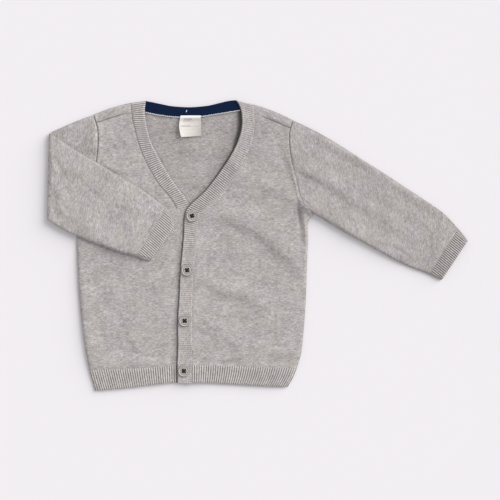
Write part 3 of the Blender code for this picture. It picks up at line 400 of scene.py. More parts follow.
def rolledHeight(distance, top, side, gap=0.0):
    # outer face of a layer near a folded edge: side 1 above, -1 below
    sine = foldTurn(distance)[1]
    middle = lay["thick"] / 2
    half = top - middle if side > 0 else middle
    if side > 0:
        half -= rounded(distance, lay["droop"], lay["droopWidth"])
    return middle + side * (gap + (half - gap) * sine)


def unrolled(distance):
    # how much longer the cloth is than its plan, from a folded edge to this distance
    inside = min(distance, lay["roll"])
    return lay["roll"] * acos(1 - inside / lay["roll"]) - inside


def showsFrom(mark, curve, under):
    # the right band's ribs and seam only show up the neck, above where the left one covers it
    return ease((mark - curve.knots[coverRow]) / seam["coverFade"]) if under else 1.0


def tuck(distance, kind="sewn"):
    # how far the cloth sinks into a seam at this distance
    return rounded(max(distance, 0.0), seam[kind], seam["tuckWidth"])


def seamStrength(arm, armhole):
    # an armhole's seam shows well at the shoulder and little under the arm
    return 0.2 + 0.8 * ease((arm / armhole.length - seam["strongFrom"]) / 0.25)


def welt(distance):
    off = (distance - seam["weltAt"]) / seam["weltWidth"]
    return seam["welt"] * (1 - off * off) ** 2 if abs(off) < 1 else 0.0


# materials

class Value:
    # a number in a node tree; the usual signs put math nodes on it

    def __init__(self, tree, socket):
        self.tree = tree
        self.socket = socket

    def __add__(self, other):
        return maths(self.tree, "ADD", self, other)

    def __sub__(self, other):
        return maths(self.tree, "SUBTRACT", self, other)

    def __rsub__(self, other):
        return maths(self.tree, "SUBTRACT", other, self)

    def __mul__(self, other):
        return maths(self.tree, "MULTIPLY", self, other)

    def __truediv__(self, other):
        return maths(self.tree, "DIVIDE", self, other)

    def __pow__(self, other):
        return maths(self.tree, "POWER", self, other)

    def __abs__(self):
        return maths(self.tree, "ABSOLUTE", self)

    def within(self):
        # kept between 0 and 1
        return maths(self.tree, "ADD", self, 0.0, clamp=True)

    def fraction(self):
        return maths(self.tree, "FRACT", self)

    def wave(self, length):
        # a sine that repeats after this length
        return maths(self.tree, "SINE", self * (2 * pi / length))


def plug(tree, value, socket):
    # links what another node puts out, or sets a constant
    if isinstance(value, Value):
        tree.links.new(value.socket, socket)
    elif isinstance(value, bpy.types.NodeSocket):
        tree.links.new(value, socket)
    elif socket.type == "RGBA":
        socket.default_value = (*value, 1.0)
    else:
        socket.default_value = value


def addNode(tree, kind, inputs=None, **settings):
    node = tree.nodes.new(kind)
    for name, value in settings.items():
        setattr(node, name, value)
    for name, value in (inputs or {}).items():
        plug(tree, value, node.inputs[name])
    return node


def maths(tree, operation, *terms, clamp=False):
    node = addNode(tree, "ShaderNodeMath", dict(enumerate(terms)), operation=operation, use_clamp=clamp)
    return Value(tree, node.outputs[0])


def blend(tree, share, a, b, kind="MIX"):
    node = addNode(tree, "ShaderNodeMix", {0: share, 6: a, 7: b}, data_type="RGBA", blend_type=kind)
    return Value(tree, node.outputs[2])


def ramp(tree, value, start, end, low=0.0, high=1.0):
    node = addNode(tree, "ShaderNodeMapRange", {"Value": value, "From Min": start, "From Max": end,
                                                "To Min": low, "To Max": high})
    return Value(tree, node.outputs[0])


def split(tree, vector):
    node = addNode(tree, "ShaderNodeSeparateXYZ", {0: vector})
    return [Value(tree, socket) for socket in node.outputs]


def clouds(tree, vector, scale, detail, **more):
    inputs = {"Vector": vector, "Scale": scale, "Detail": detail, **more}
    node = addNode(tree, "ShaderNodeTexNoise", inputs, noise_dimensions="2D")
    return Value(tree, node.outputs["Fac"])


socketTypes = {"vector": "NodeSocketVector", "value": "NodeSocketFloat", "colour": "NodeSocketColor"}


def newGroup(name, **inputs):
    tree = bpy.data.node_groups.new(name, "ShaderNodeTree")
    for title, kind in inputs.items():
        tree.interface.new_socket(name=title, in_out="INPUT", socket_type=socketTypes[kind])
    sockets = tree.nodes.new("NodeGroupInput").outputs
    return tree, {title: Value(tree, sockets[title]) for title in inputs}


def finishGroup(tree, **results):
    for title in results:
        kind = "colour" if title == "Colour" else "value"
        tree.interface.new_socket(name=title, in_out="OUTPUT", socket_type=socketTypes[kind])
    sockets = tree.nodes.new("NodeGroupOutput").inputs
    for title, value in results.items():
        plug(tree, value, sockets[title])
    return tree


def placeGroup(tree, group, **inputs):
    node = addNode(tree, "ShaderNodeGroup", node_tree=group)
    for name, value in inputs.items():
        plug(tree, value, node.inputs[name])
    return {socket.name: Value(tree, socket) for socket in node.outputs}


yarn = {
    "light": (0.872, 0.822, 0.804),
    "middle": (0.592, 0.553, 0.538),
    "dark": (0.335, 0.305, 0.29),
    # painted shade: laid into rib valleys, between stitches and beside the stretched sleeve's fold
    "valley": (0.115, 0.10, 0.095),
    # painted highlight: laid onto rib crests and in a thin line beside the left band's edge
    "crest": (0.94, 0.90, 0.87),
    # painted shadow: the dark along the left band's free edge and inside the neck
    "rim": (0.05, 0.042, 0.038),
    "wale": 1.25,        # width of a stitch
    "course": 0.92,      # height of a stitch
    "ribCourse": 1.1,
    "wobble": 0.9,       # how far the stitches stray
    "gapShade": 0.3,     # painted shade: how dark it is between them
    "fuzz": 0.6,
    "bump": 0.00036,
}
heatherLayers = (        # weight, scale across and along, detail, seed
    (0.38, 0.27, 1.0, 3.0, 3.0), (0.32, 1.15, 2.4, 2.0, 17.0), (0.18, 0.13, 0.27, 2.0, 29.0),
    (0.12, 0.04, 0.06, 2.0, 41.0),
)
# painted shade, laid into the cloth's colour where the light on it is weaker
shading = {
    "fade": 0.055,       # painted shade: how much darker the cloth is towards the left shoulder and cuff
    "fadeOver": 0.2,     # metres from the middle, diagonally
    "rim": 0.2,          # painted shade: how much darker it is where it turns over an edge
    "rimHeight": 0.0023,
    "rimReach": 0.0013,
    "fold": 0.26,        # and beside the upper fold of the stretched sleeve, also painted shade
    "foldReach": 7.5,    # millimetres from that fold
    # painted shade over the whole left cuff
    "leftCuff": 0.9,
}


def buildStitches():
    # rows of V-shaped stitches; Place is in millimetres, across the wales and along them
    tree, given = newGroup("stitches", Place="vector", Wale="value", Course="value")
    stray = addNode(tree, "ShaderNodeTexNoise", {"Vector": given["Place"], "Scale": 0.35, "Detail": 2.0},
                    noise_dimensions="2D")
    shift = addNode(tree, "ShaderNodeVectorMath", {0: stray.outputs["Color"], 1: (0.5, 0.5, 0.5)},
                    operation="SUBTRACT")
    shift = addNode(tree, "ShaderNodeVectorMath", {0: shift.outputs[0], "Scale": yarn["wobble"]},
                    operation="SCALE")
    place = addNode(tree, "ShaderNodeVectorMath", {0: given["Place"], 1: shift.outputs[0]})
    x, y, _ = split(tree, place.outputs[0])
    side = abs((x / given["Wale"]).fraction() - 0.5)       # 0.5 between two wales
    leg = (side - 0.25) * 4.0
    roundness = (1.0 - leg * leg).within()
    phase = y / given["Course"] + side * 1.5
    loop = maths(tree, "COSINE", phase * (2 * pi)) * 0.5 + 0.5
    height = roundness * (loop * 0.7 + 0.3)
    # Gap is a mask for the painted shade between the stitches
    return finishGroup(tree, Height=height, Gap=(1.0 - height * 2.2).within())


def buildHeather():
    # light and dark fibres spun together, drawn out along the courses
    tree, given = newGroup("heather", Place="vector", Light="colour", Middle="colour", Dark="colour")

    def streaks(scaleX, scaleY, detail, seed):
        drawn = {"Vector": given["Place"], "Location": (seed, seed, 0.0), "Scale": (scaleX, scaleY, 1.0)}
        mapped = addNode(tree, "ShaderNodeMapping", drawn)
        return clouds(tree, mapped.outputs[0], 1.0, detail, Roughness=0.6)

    total = 0.0
    for weight, *look in heatherLayers:
        total = streaks(*look) * weight + total
    spread = ramp(tree, total, 0.365, 0.635)
    darker = blend(tree, (spread * 2.0).within(), given["Dark"], given["Middle"])
    spun = blend(tree, (spread * 2.0 - 1.0).within(), darker, given["Light"])
    patches = ramp(tree, streaks(0.03, 0.045, 1.0, 73.0), 0.4, 0.6)
    cast = blend(tree, patches, (0.99, 0.985, 1.0), (1.0, 0.995, 0.975))
    return finishGroup(tree, Colour=blend(tree, 1.0, spun, cast, "MULTIPLY"), Fleck=spread)


def buildFuzz():
    # short loose fibres on the surface
    tree, given = newGroup("fuzz", Place="vector", Size="value")
    place = addNode(tree, "ShaderNodeVectorMath", {0: given["Place"], "Scale": given["Size"]},
                    operation="SCALE")
    return finishGroup(tree, Height=clouds(tree, place.outputs[0], 2.2, 4.0, Roughness=0.7, Distortion=1.2))


def buildRibs():
    # how deep in a valley, or high on a crest, a place of the ribbing is, as masks for painted shade in the
    # valleys and a painted highlight on the crests
    tree, given = newGroup("ribs", Place="vector", Pitch="value", Strength="value")
    low = abs((split(tree, given["Place"])[0] / given["Pitch"]).fraction() - 0.5) * 2.0
    valley, crest = low ** 1.7, (1.0 - low).within() ** 1.4
    return finishGroup(tree, Valley=valley * given["Strength"], Crest=crest * given["Strength"])


def buildTone():
    # painted shade: how light the cloth is at a place of the garment, in metres; darker diagonally towards
    # the left shoulder and cuff, and where the cloth turns over an edge
    tree, given = newGroup("tone", Place="vector", Base="value")
    x, y, z = split(tree, given["Place"])
    fade = ramp(tree, x + y, 0.0, shading["fadeOver"], 1.0, 1 - shading["fade"])
    # painted shade where the cloth turns over an edge, read from its height
    turned = (1.0 - abs(z - shading["rimHeight"]) / shading["rimReach"]).within()
    return finishGroup(tree, Tone=fade * (1.0 - turned * shading["rim"]) * given["Base"])


stitches, heather, fuzz = buildStitches(), buildHeather(), buildFuzz()
ribs, toning = buildRibs(), buildTone()


def newMaterial(name, **settings):
    material = bpy.data.materials.new(name)
    material.use_nodes = True
    tree = material.node_tree
    shader = tree.nodes["Principled BSDF"]
    for title, value in settings.items():
        shader.inputs[title.replace("_", " ")].default_value = value
    return material, tree, shader


def knitPlace(tree):
    # the knit's own coordinates, in millimetres
    return addNode(tree, "ShaderNodeUVMap", uv_map="knit").outputs[0]


def addBump(tree, shader, height, distance):
    bump = addNode(tree, "ShaderNodeBump", {"Height": height, "Distance": distance})
    plug(tree, bump.outputs[0], shader.inputs["Normal"])


def knitMaterial(name, wale, course, finer=None, base=1.0):
    # finer adds what is special to a piece: finer(tree, place, colour) gives its colour; base darkens the
    # whole piece, as painted shade
    material, tree, shader = newMaterial(name, Roughness=0.92, Sheen_Weight=0.18, Sheen_Roughness=0.5,
                                         Specular_IOR_Level=0.2)
    place = knitPlace(tree)
    stitch = placeGroup(tree, stitches, Place=place, Wale=wale, Course=course)
    hair = placeGroup(tree, fuzz, Place=place, Size=1.0)
    spun = placeGroup(tree, heather, Place=place, Light=yarn["light"], Middle=yarn["middle"],
                      Dark=yarn["dark"])
    # painted shade between the stitches
    colour = blend(tree, stitch["Gap"] * yarn["gapShade"], spun["Colour"], yarn["valley"])
    if finer:
        colour = finer(tree, place, colour)
    # painted shade by the place on the garment
    spot = addNode(tree, "ShaderNodeTexCoord").outputs["Object"]
    tone = placeGroup(tree, toning, Place=spot, Base=base)["Tone"]
    plug(tree, blend(tree, 1.0, colour, tone, "MULTIPLY"), shader.inputs["Base Color"])
    plug(tree, spun["Fleck"] * 0.12 + 0.82, shader.inputs["Roughness"])
    addBump(tree, shader, stitch["Height"] + hair["Height"] * yarn["fuzz"], yarn["bump"])
    return material


def shadeRibs(tree, place, colour, pitch, strength):
    # painted shade in the rib valleys and a painted highlight on the crests
    ribbing = placeGroup(tree, ribs, Place=place, Pitch=pitch, Strength=strength)
    colour = blend(tree, ribbing["Valley"], colour, yarn["valley"])
    return blend(tree, ribbing["Crest"] * 0.5, colour, yarn["crest"])


def ribbed(pitch, strength):
    # painted shade and highlight of ribs, equally strong all over
    def finer(tree, place, colour):
        return shadeRibs(tree, place, colour, pitch, strength)
    return finer


def rightBandLook(tree, place, colour):
    # the painted shade and highlight of the ribs show up the neck, above where the left band covers them
    plain = rightBand.knots[coverRow] - rib["plainTo"]
    strength = ramp(tree, split(tree, place)[0], plain, plain + rib["swell"], 0.0, 0.85)
    return shadeRibs(tree, place, colour, rib["band"], strength)


def leftBandLook(tree, place, colour):
    # the painted shade and highlight of the ribs are faint down the front and again at the shoulder; the
    # free edge gets a painted shadow, with a thin painted highlight beside it
    along, across, _ = split(tree, place)
    plain, fold = leftBand.knots[turnRow] - rib["plainTo"], leftBand.length
    flat = plain + rib["flatFrom"]
    strength = ramp(tree, along, plain - 45, plain + rib["swell"], 0.3, 1.0)
    atShoulder = ramp(tree, along, flat, flat + rib["flatOver"], 1.0, 0.3)
    behind = ramp(tree, along, fold - 8, fold + 8)
    strength = strength * maths(tree, "MAXIMUM", atShoulder, behind)
    colour = shadeRibs(tree, place, colour, rib["band"], strength)
    inFront = ramp(tree, along, fold - 4, fold + 4, 1.0, 0.0)
    inward = across / ramp(tree, along, plain + 50, plain + 120, 1.3, 1.25 * 1.3)
    # painted highlight in a thin line beside the free edge
    bead = (1.0 - abs(inward - 1.9)).within() * (inFront * 0.1)
    colour = blend(tree, bead, colour, yarn["crest"])
    # painted shadow along the free edge
    rim = (1.0 - inward).within() ** 0.5
    return blend(tree, rim * inFront, colour, yarn["rim"])


def insideLook(tree, place, colour):
    # painted shadow from the back's shade attribute, laid over the inside's colour
    shade = addNode(tree, "ShaderNodeAttribute", attribute_name="shade").outputs["Fac"]
    return blend(tree, shade, colour, yarn["rim"])


def sleeveLook(tree, place, colour):
    # painted shade: darker towards the fold, from which the knit's coordinates count
    away = abs(split(tree, place)[0]) / shading["foldReach"]
    return blend(tree, (1.0 - away).within() * shading["fold"], colour, yarn["valley"])


rib = {
    "band": 2.4,         # pitch of the ribs
    "hem": 2.7,
    "cuff": 2.4,
    "steps": 8,          # faces across a rib
    "hemSteps": 6,       # and across one of the back's hem
    "relief": 0.45,      # of a crest over the middle, and of a valley under it
    "underRelief": 0.45,                  # how far the valleys stand off the floor
    "placketRelief": 0.16,
    "fade": 1.6,         # length over which the ribs run out at a seam
    "bandWall": 1.3,
    "cuffWall": 1.2,
    "bandEdge": (0.95, 1.2),              # depth and width of the free edges' rounding
    "frontEdge": (0.7, 2.0),
    "backEdge": (0.4, 1.6),
    "cuffEdge": (0.5, 1.8),
    "turnRibs": 4,       # ribs in the two folded edges of a cuff
    "frontHem": (16, 20.0),               # rows of faces, and length
    "backHem": (14, 22.0),
    "bandWidth": 16.0,
    "plainTo": 4.0,      # how far below the turn the left band's ribs begin to stand out
    "swell": 14.0,       # length over which they do
    "flatFrom": 66.0,    # from there, how far up they begin to sink again
    "flatOver": 46.0,
    "flatBy": 0.6,
}

jerseyMaterial = knitMaterial("jersey_knit", yarn["wale"], yarn["course"])
# the stretched sleeve gets painted shade beside its upper fold
sleeveMaterial = knitMaterial("sleeve_knit", yarn["wale"], yarn["course"], sleeveLook)
insideMaterial = knitMaterial("jersey_inside", yarn["wale"], yarn["course"], insideLook)
bandMaterial = knitMaterial("band_rib", rib["band"], yarn["ribCourse"], rightBandLook)
# the left band has a painted shadow along its free edge
topBandMaterial = knitMaterial("top_band_rib", rib["band"], yarn["ribCourse"], leftBandLook)
hemMaterial = knitMaterial("hem_rib", rib["hem"], yarn["ribCourse"], ribbed(rib["hem"], 0.8))
cuffMaterial = knitMaterial("cuff_rib", rib["cuff"], yarn["ribCourse"], ribbed(rib["cuff"], 1.0))
# the left cuff is a little darker all over, as painted shade
leftCuffMaterial = knitMaterial("cuff_rib_left", rib["cuff"], yarn["ribCourse"], ribbed(rib["cuff"], 1.0),
                                shading["leftCuff"])
print("materials of the knit made")


# cloth

def addObject(name, work, material=None):
    mesh = bpy.data.meshes.new(name)
    work.to_mesh(mesh)
    work.free()
    if material:
        mesh.materials.append(material)
    item = bpy.data.objects.new(name, mesh)
    bpy.context.scene.collection.objects.link(item)
    return item


def addPiece(name, work, material, slot, node=None):
    for edge in work.edges:
        edge.smooth = not edge.is_boundary       # so a cut edge doesn't darken the face beside it
    for face in work.faces:
        face.smooth = True
    piece = addObject(name, work, material)
    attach(piece, "root")
    if node:
        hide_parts(node)
    return piece


def giveWall(piece, thickness):
    wall = piece.modifiers.new("wall", "SOLIDIFY")
    wall.thickness = thickness * mm
    wall.offset = -1.0
    return wall


def layGrid(work, across, along, place):
    # a grid of faces whose corners go where place(column, row) says, with the knit's
    # own coordinates in a UV map
    uvMap = work.loops.layers.uv.get("knit") or work.loops.layers.uv.new("knit")
    made = bmesh.ops.create_grid(work, x_segments=across, y_segments=along, size=1.0)
    knit = {}
    for corner in made["verts"]:
        column = round((corner.co.x + 1) / 2 * across)
        row = round((corner.co.y + 1) / 2 * along)
        (x, y, z), knit[corner] = place(column, row)
        corner.co = (x * mm, y * mm, z * mm)
    for face in {face for corner in made["verts"] for face in corner.link_faces}:
        for loop in face.loops:
            loop[uvMap].uv = knit[loop.vert]


def finishCloth(work, upward):
    # merges what meets, and turns the faces outward
    bmesh.ops.remove_doubles(work, verts=work.verts[:], dist=0.00002)
    bmesh.ops.recalc_face_normals(work, faces=work.faces[:])
    level = [face for face in work.faces if abs(face.normal.z) > 0.9]
    way = 1 if upward else -1
    outermost = max(level, key=lambda face: way * face.calc_center_median().z)
    if way * outermost.normal.z < 0:
        bmesh.ops.reverse_faces(work, faces=work.faces[:])


def makeCloth(name, node, material, slot, size, place, wall, upward=True, **cut):
    work = bmesh.new()
    layGrid(work, *size, place)
    finishCloth(work, upward)
    piece = addPiece(name, work, material, slot, node)
    giveWall(piece, wall)


def aboveHem(x, lowest, height):
    # how much higher a course lies, close above the hem, than straight across the panel
    return (hemTop.byColumn(0, x)[1] + lay["gap"] - lowest) * (1 - ease(height / lay["hemFade"]))


def makeFront(name, node, bandSeam, side, armhole, under, flat, area):
    away, bandJoin = (1, "picked") if under else (-1, "joined")
    last = bandSeam.length - lay["yoke"] - lay["gap"]
    start, turn = bandSeam.knots[hemRow] + lay["gap"], bandSeam.knots[turnRow]
    below, above = round((turn - start) / lay["grid"]), round((last - turn) / lay["grid"])
    sideStart = side.knots[sideHemRow] + lay["gap"]
    armLast = armhole.length - lay["yoke"] - lay["gap"]
    rollColumns = rollDistances()
    rows = []
    for k in (*range(below + above), *(below + above - part for part in reversed(lay["seamRows"]))):
        if k <= below:
            mark = start + (turn - start) * k / below
            edge = side.at(sideStart + (side.length - sideStart) * k / below)
            arm = 0.0
        else:
            mark = turn + (last - turn) * (k - below) / above
            arm = armLast * (k - below) / above
            edge = armhole.at(arm)
        centre = bandSeam.beside(mark, away * lay["gap"])
        rows.append((mark, arm, edge, toward(edge, centre), dist(edge, centre)))

    def place(column, row):
        mark, arm, edge, inward, width = rows[row]
        if column < len(rollColumns):
            distance = rollColumns[column]
        else:
            share = (column - lay["rollSteps"]) / (lay["frontColumns"] - lay["rollSteps"])
            distance = lay["roll"] + (width - lay["roll"]) * share
        x, y = moved(edge, inward, distance)
        share = distance / width
        lowest = side.at(sideStart)[1] * (1 - share) + bandSeam.at(start)[1] * share
        y += aboveHem(x, lowest, mark - start)
        top = frontHeight(x, y, under)
        shoulder = tuck(last - mark) * ease((width - distance) / seam["neckFade"] - 0.2)
        join = tuck(width - distance, bandJoin) * showsFrom(mark, bandSeam, under)
        grooves = [join, tuck(mark - start, "knitted"), shoulder]
        if arm > 0:
            strength = seamStrength(arm, armhole)
            grooves.append(tuck(distance) * strength)
            top += welt(distance) * (1.25 - strength) * ease(arm / seam["weltRise"])
        top -= max(grooves)
        z = rolledHeight(distance + arm, top, 1, lay["gap"] / 2)
        return (x, y, z), (x + inward[0] * unrolled(distance + arm), y)

    makeCloth(name, node, jerseyMaterial, "jersey", (lay["frontColumns"], len(rows) - 1), place,
              lay["jersey"], flat=flat, held="laid", area=area, rests_on=["back"])


makeFront("front_left_cloth", "front_left", leftSeam, leftSide, leftArmhole, False,
          (0.145, 0.31), 0.034)
makeFront("front_right_cloth", "front_right", rightSeam, rightSide, rightArmhole, True,
          (0.135, 0.31), 0.031)
print("fronts made")


def shoulderEdge(armhole, corner, share, distance, neckPoint):
    # a point of the shoulder: share 0 at the armhole, 1 at the neck
    arm, top = armhole.at(armhole.length - distance), armhole.at(armhole.length)
    straight = mix(arm, neckPoint, share)
    bow = lay["shoulderBow"] * 4 * share * (1 - share) * (1 - distance / lay["yoke"])
    acrossX, acrossY = toward(top, corner)
    side = 1 if acrossX < 0 else -1
    return moved(straight, (acrossY, -acrossX), side * bow)


def underHeight(x, y, distance, groove):
    # outer face of the underside, which rests on the floor between its soft troughs
    lift = (creaseHeight(backCreases, x, y) + groove) * ease(distance / lay["troughFade"])
    return rolledHeight(distance, lay["thick"], -1, lay["gap"] / 2) + lift


# painted shadow on the back's inside beside the neck's left edge, which stands over it; the rest of the
# inside is a little darker
neckShade = {
    "base": 0.05,        # the back's inside is a little darker all over
    "depth": 0.72,       # painted shadow: beside the neck's left edge it is darker by this
    "narrow": 2.2,       # within this distance of it, low down
    "wide": 7.0,         # and high up
    "wideFrom": 112.0,   # where it grows wider
    "wideOver": 18.0,
    "bottom": 62.0,      # where it begins, and the height over which it sets in
    "rise": 40.0,
    "top": 171.0,
}
backGrid = {             # faces of the back
    "side": 118,         # up its sides
    "arm": 72,           # up its armholes
    "shoulder": 24,
    "neck": 96,
    "yoke": 5,           # between a shoulder's fold and its seam
    "bendFrom": 0.45,    # share of an armhole above which the rows bend to shoulders and neck
}


def shadeInside(work):
    # painted shadow: how dark the inside of the back is beside the neck's left edge, which stands over it;
    # elsewhere the inside is only a little darker
    layer = work.verts.layers.float.new("shade")
    for corner in work.verts:
        x, y = corner.co.x / mm, corner.co.y / mm
        reach = leftBand.byColumn(1, y)[0] - x
        high = ease((y - neckShade["wideFrom"]) / neckShade["wideOver"])
        width = neckShade["narrow"] + (neckShade["wide"] - neckShade["narrow"]) * high
        near = 1 - max(reach, 0.0) / width
        corner[layer] = neckShade["base"]
        if near > 0 and y < neckShade["top"]:
            setIn = ease((y - neckShade["bottom"]) / neckShade["rise"])
            corner[layer] += neckShade["depth"] * ease(near * 1.3) * setIn


def makeBack():
    roll, gap, yoke = lay["roll"], lay["gap"], lay["yoke"]
    rollColumns = rollDistances()
    edgeCount, shoulderCount, neckCount = len(rollColumns), backGrid["shoulder"], backGrid["neck"]
    neckStep = (neckSeam.length - 2 * roll) / neckCount
    neckRow = [neckSeam.beside(roll + neckStep * k, -gap) for k in range(neckCount + 1)]

    def shoulderShares(armhole, corner):
        start = roll / dist(armhole.at(armhole.length), corner)
        return [start + (1 - start) * k / shoulderCount for k in range(1, shoulderCount)]

    rightShares = shoulderShares(rightArmhole, neckRow[0])
    leftShares = shoulderShares(leftArmhole, neckRow[-1])
    level = [shoulderEdge(rightArmhole, neckRow[0], share, roll, neckRow[0]) for share in rightShares]
    level += neckRow
    level += [shoulderEdge(leftArmhole, neckRow[-1], share, roll, neckRow[-1])
              for share in reversed(leftShares)]
    first = rightArmhole.at(rightArmhole.length - roll)
    last = leftArmhole.at(leftArmhole.length - roll)
    shares = [(point[0] - first[0]) / (last[0] - first[0]) for point in level]
    sideRows, armRows = backGrid["side"], backGrid["arm"]
    columns = 2 * edgeCount + len(level)
    start = rightSide.knots[sideHemRow] + gap
    leftStart = leftSide.knots[sideHemRow] + gap
    foot = (rightSide.at(start), leftSide.at(leftStart))
    bodyTop = {}

    def placeBody(column, row):
        if row <= sideRows:
            share, arm = row / sideRows, 0.0
            right = rightSide.at(start + share * (rightSide.length - start))
            left = leftSide.at(leftStart + share * (leftSide.length - leftStart))
        else:
            share, arm = 1.0, (row - sideRows) / armRows
            right = rightArmhole.at(arm * (rightArmhole.length - roll))
            left = leftArmhole.at(arm * (leftArmhole.length - roll))
        across, width = toward(right, left), dist(right, left)
        lift = ease((arm - backGrid["bendFrom"]) / (1 - backGrid["bendFrom"]))
        height = share * (rightSide.length - start)
        fromEdge = arm * leftArmhole.length
        if column < edgeCount:
            distance = rollColumns[column]
            x, y = moved(right, across, distance)
            knitX = x + unrolled(distance + fromEdge)
        elif column >= columns - edgeCount:
            distance = rollColumns[columns - 1 - column]
            x, y = moved(left, across, -distance)
            knitX = x - unrolled(distance + fromEdge)
        else:
            place = shares[column - edgeCount]
            target, straight = level[column - edgeCount], mix(first, last, place)
            x, y = mix(right, left, place)
            x += lift * (target[0] - straight[0])
            y += lift * (target[1] - straight[1])
            distance = max(min(place, 1 - place) * width, roll)
            knitX = x + unrolled(roll) * (1 - 2 * place)
        (footX, footY), (endX, endY) = foot
        lowest = footY + (endY - footY) * (x - footX) / (endX - footX)
        y += aboveHem(x, lowest, height)
        groove = tuck(height, "knitted") if row <= sideRows else 0.0
        if arm > 0:
            groove = max(groove, tuck(distance))
        z = underHeight(x, y, distance + fromEdge, groove)
        if row == sideRows + armRows:
            bodyTop[column] = (x, y, z), (knitX, y)
        return (x, y, z), (knitX, y)

    work = bmesh.new()
    layGrid(work, columns - 1, sideRows + armRows, placeBody)
    steps = [(distance, -1) for distance in reversed(rollColumns)]       # over the shoulder
    steps += [(distance, 1) for distance in rollColumns[1:]]
    steps += [(roll + (yoke - roll) * k / backGrid["yoke"], 1) for k in range(1, backGrid["yoke"] + 1)]

    for armhole, band, atLeft, stops in ((rightArmhole, rightSeam, False, rightShares),
                                         (leftArmhole, leftSeam, True, leftShares)):
        corner = band.at(band.length)
        span = dist(armhole.at(armhole.length), corner)
        across = [distance / span for distance in rollColumns] + stops + [1.0]

        def placeYoke(column, row):
            if row == 0:
                return bodyTop[columns - 1 - column if atLeft else column]
            distance, side = steps[row]
            share = across[column]
            if side < 0:
                x, y = neckSeam.beside(neckSeam.length - distance if atLeft else distance, -gap)
            else:
                x, y = band.at(band.length - distance)
                x += gap if atLeft else -gap
            pointX, pointY = shoulderEdge(armhole, corner, share, distance, (x, y))
            foldY = shoulderEdge(armhole, corner, share, 0.0, corner)[1]
            z = rolledHeight(distance, lay["thick"] + looseHeight(pointX, pointY), side)
            if side > 0:
                groove = max(tuck(yoke - distance) * ease((0.95 - share) / 0.3), tuck(share * span),
                             tuck((1 - share) * span, "knitted"))
                z -= groove * ease(distance / 3)
            over = distance + unrolled(distance)
            return (pointX, pointY, z), (pointX, foldY + unrolled(roll) + side * over)

        layGrid(work, len(across) - 1, len(steps) - 1, placeYoke)
    finishCloth(work, False)
    shadeInside(work)
    piece = addPiece("back_cloth", work, jerseyMaterial, "jersey", "back")
    # the back's inside has its own material, with the painted shadow
    piece.data.materials.append(insideMaterial)
    giveWall(piece, lay["jersey"]).material_offset = 1


makeBack()
print("back made")


# ribbing

def ribShape(phase):
    # 1 on a crest, -1 in the valleys, which are narrower
    return 2 * abs(sin(pi * phase)) ** 0.62 - 1


def hemPoint(side, innerX, share, depth):
    # a point of a hem: share 0 at the side, depth 0 at the top
    edgeX = side.at(side.knots[sideHemRow] * (1 - depth))[0]
    x = edgeX + (innerX - edgeX) * share
    top, foot = hemTop.byColumn(0, x)[1], hemFoot.byColumn(0, x)[1]
    return x, top + (foot - top) * depth


def softEnds(depth, length):
    # how far in from the ends of a ribbed piece, as a share of its full relief
    return ease(depth * length / rib["fade"])


def ribColumns(side, innerX, steps):
    # width of a hem, pitch of its ribs, and how far its columns are from the fold
    width = abs(innerX - side.at(side.knots[sideHemRow])[0])
    count = round((width - lay["roll"]) / rib["hem"])
    pitch = (width - lay["roll"]) / count
    level = [lay["roll"] + pitch * k / steps for k in range(1, count * steps + 1)]
    return width, pitch, rollDistances() + level


def makeFrontHem(name, node, side, innerX, under, flat):
    width, pitch, distances = ribColumns(side, innerX, rib["steps"])
    rows, length = rib["frontHem"]

    def place(column, row):
        distance, depth = distances[column], row / rows
        x, y = hemPoint(side, innerX, distance / width, depth)
        phase = (distance - lay["roll"]) / pitch
        top = frontHeight(x, y, under)
        if distance > lay["roll"]:
            top += rib["relief"] * ribShape(phase) * softEnds(depth, length)
        top -= tuck(min(depth * length, width - distance + 0.5), "knitted")
        top -= rounded((1 - depth) * length, *rib["frontEdge"])
        z = rolledHeight(distance, top, 1, lay["gap"] / 2)
        return (x, y, z), (phase * rib["hem"], -depth * length)

    makeCloth(name, node, hemMaterial, "rib", (len(distances) - 1, rows), place, rib["bandWall"],
              flat=flat, held="laid", rests_on=["hem_back"])


def makeBackHem():
    rows, length = rib["backHem"]
    halves = [(side, *ribColumns(side, 0.0, rib["hemSteps"])) for side in (rightSide, leftSide)]
    rightCount, leftCount = len(halves[0][3]), len(halves[1][3])

    def place(column, row):
        if column < rightCount:
            side, width, pitch, distances = halves[0]
            distance = distances[column]
        else:
            side, width, pitch, distances = halves[1]
            distance = distances[rightCount + leftCount - 2 - column]
        depth = row / rows
        x, y = hemPoint(side, 0.0, distance / width, depth)
        phase = (distance - lay["roll"]) / pitch
        lift = 0.0
        if distance > lay["roll"]:
            lift = rib["underRelief"] * (0.5 - 0.5 * ribShape(phase)) * softEnds(depth, length)
        lift += tuck(depth * length, "knitted") + rounded((1 - depth) * length, *rib["backEdge"])
        z = rolledHeight(distance, lay["thick"], -1, lay["gap"] / 2) + lift
        return (x, y, z), (phase * rib["hem"] * (1 if side is rightSide else -1), -depth * length)

    makeCloth("hem_back_rib", "hem_back", hemMaterial, "rib", (rightCount + leftCount - 2, rows),
              place, lay["jersey"], upward=False, flat=(0.245, 0.025), held="laid")


makeFrontHem("hem_left_rib", "hem_front_left", leftSide, lay["gap"], False, (0.123, 0.022))
makeFrontHem("hem_right_rib", "hem_front_right", rightSide, -12.8 - lay["gap"], True, (0.108, 0.022))
makeBackHem()


def foldDistance(x, y, corner):
    # how far a point is from the fold of a band at the neck, and the way off it
    ax, ay, bx, by = corner
    share = ((x - ax) * (bx - ax) + (y - ay) * (by - ay)) / widthOf(corner) ** 2
    near = between(corner, min(max(share, 0.0), 1.0))
    distance = dist(near, (x, y))
    if distance < 0.05:
        acrossX, acrossY = toward(corner[:2], corner[2:])
        turn = -1 if acrossX > 0 else 1
        return 0.0, (-turn * acrossY, turn * acrossX)
    return distance, toward(near, (x, y))


bandShares = (0.0, 0.03, 0.07, 0.13, 0.22, 0.34, 0.46, 0.58, 0.7, 0.8, 0.88, 0.94, 0.97, 1.0)


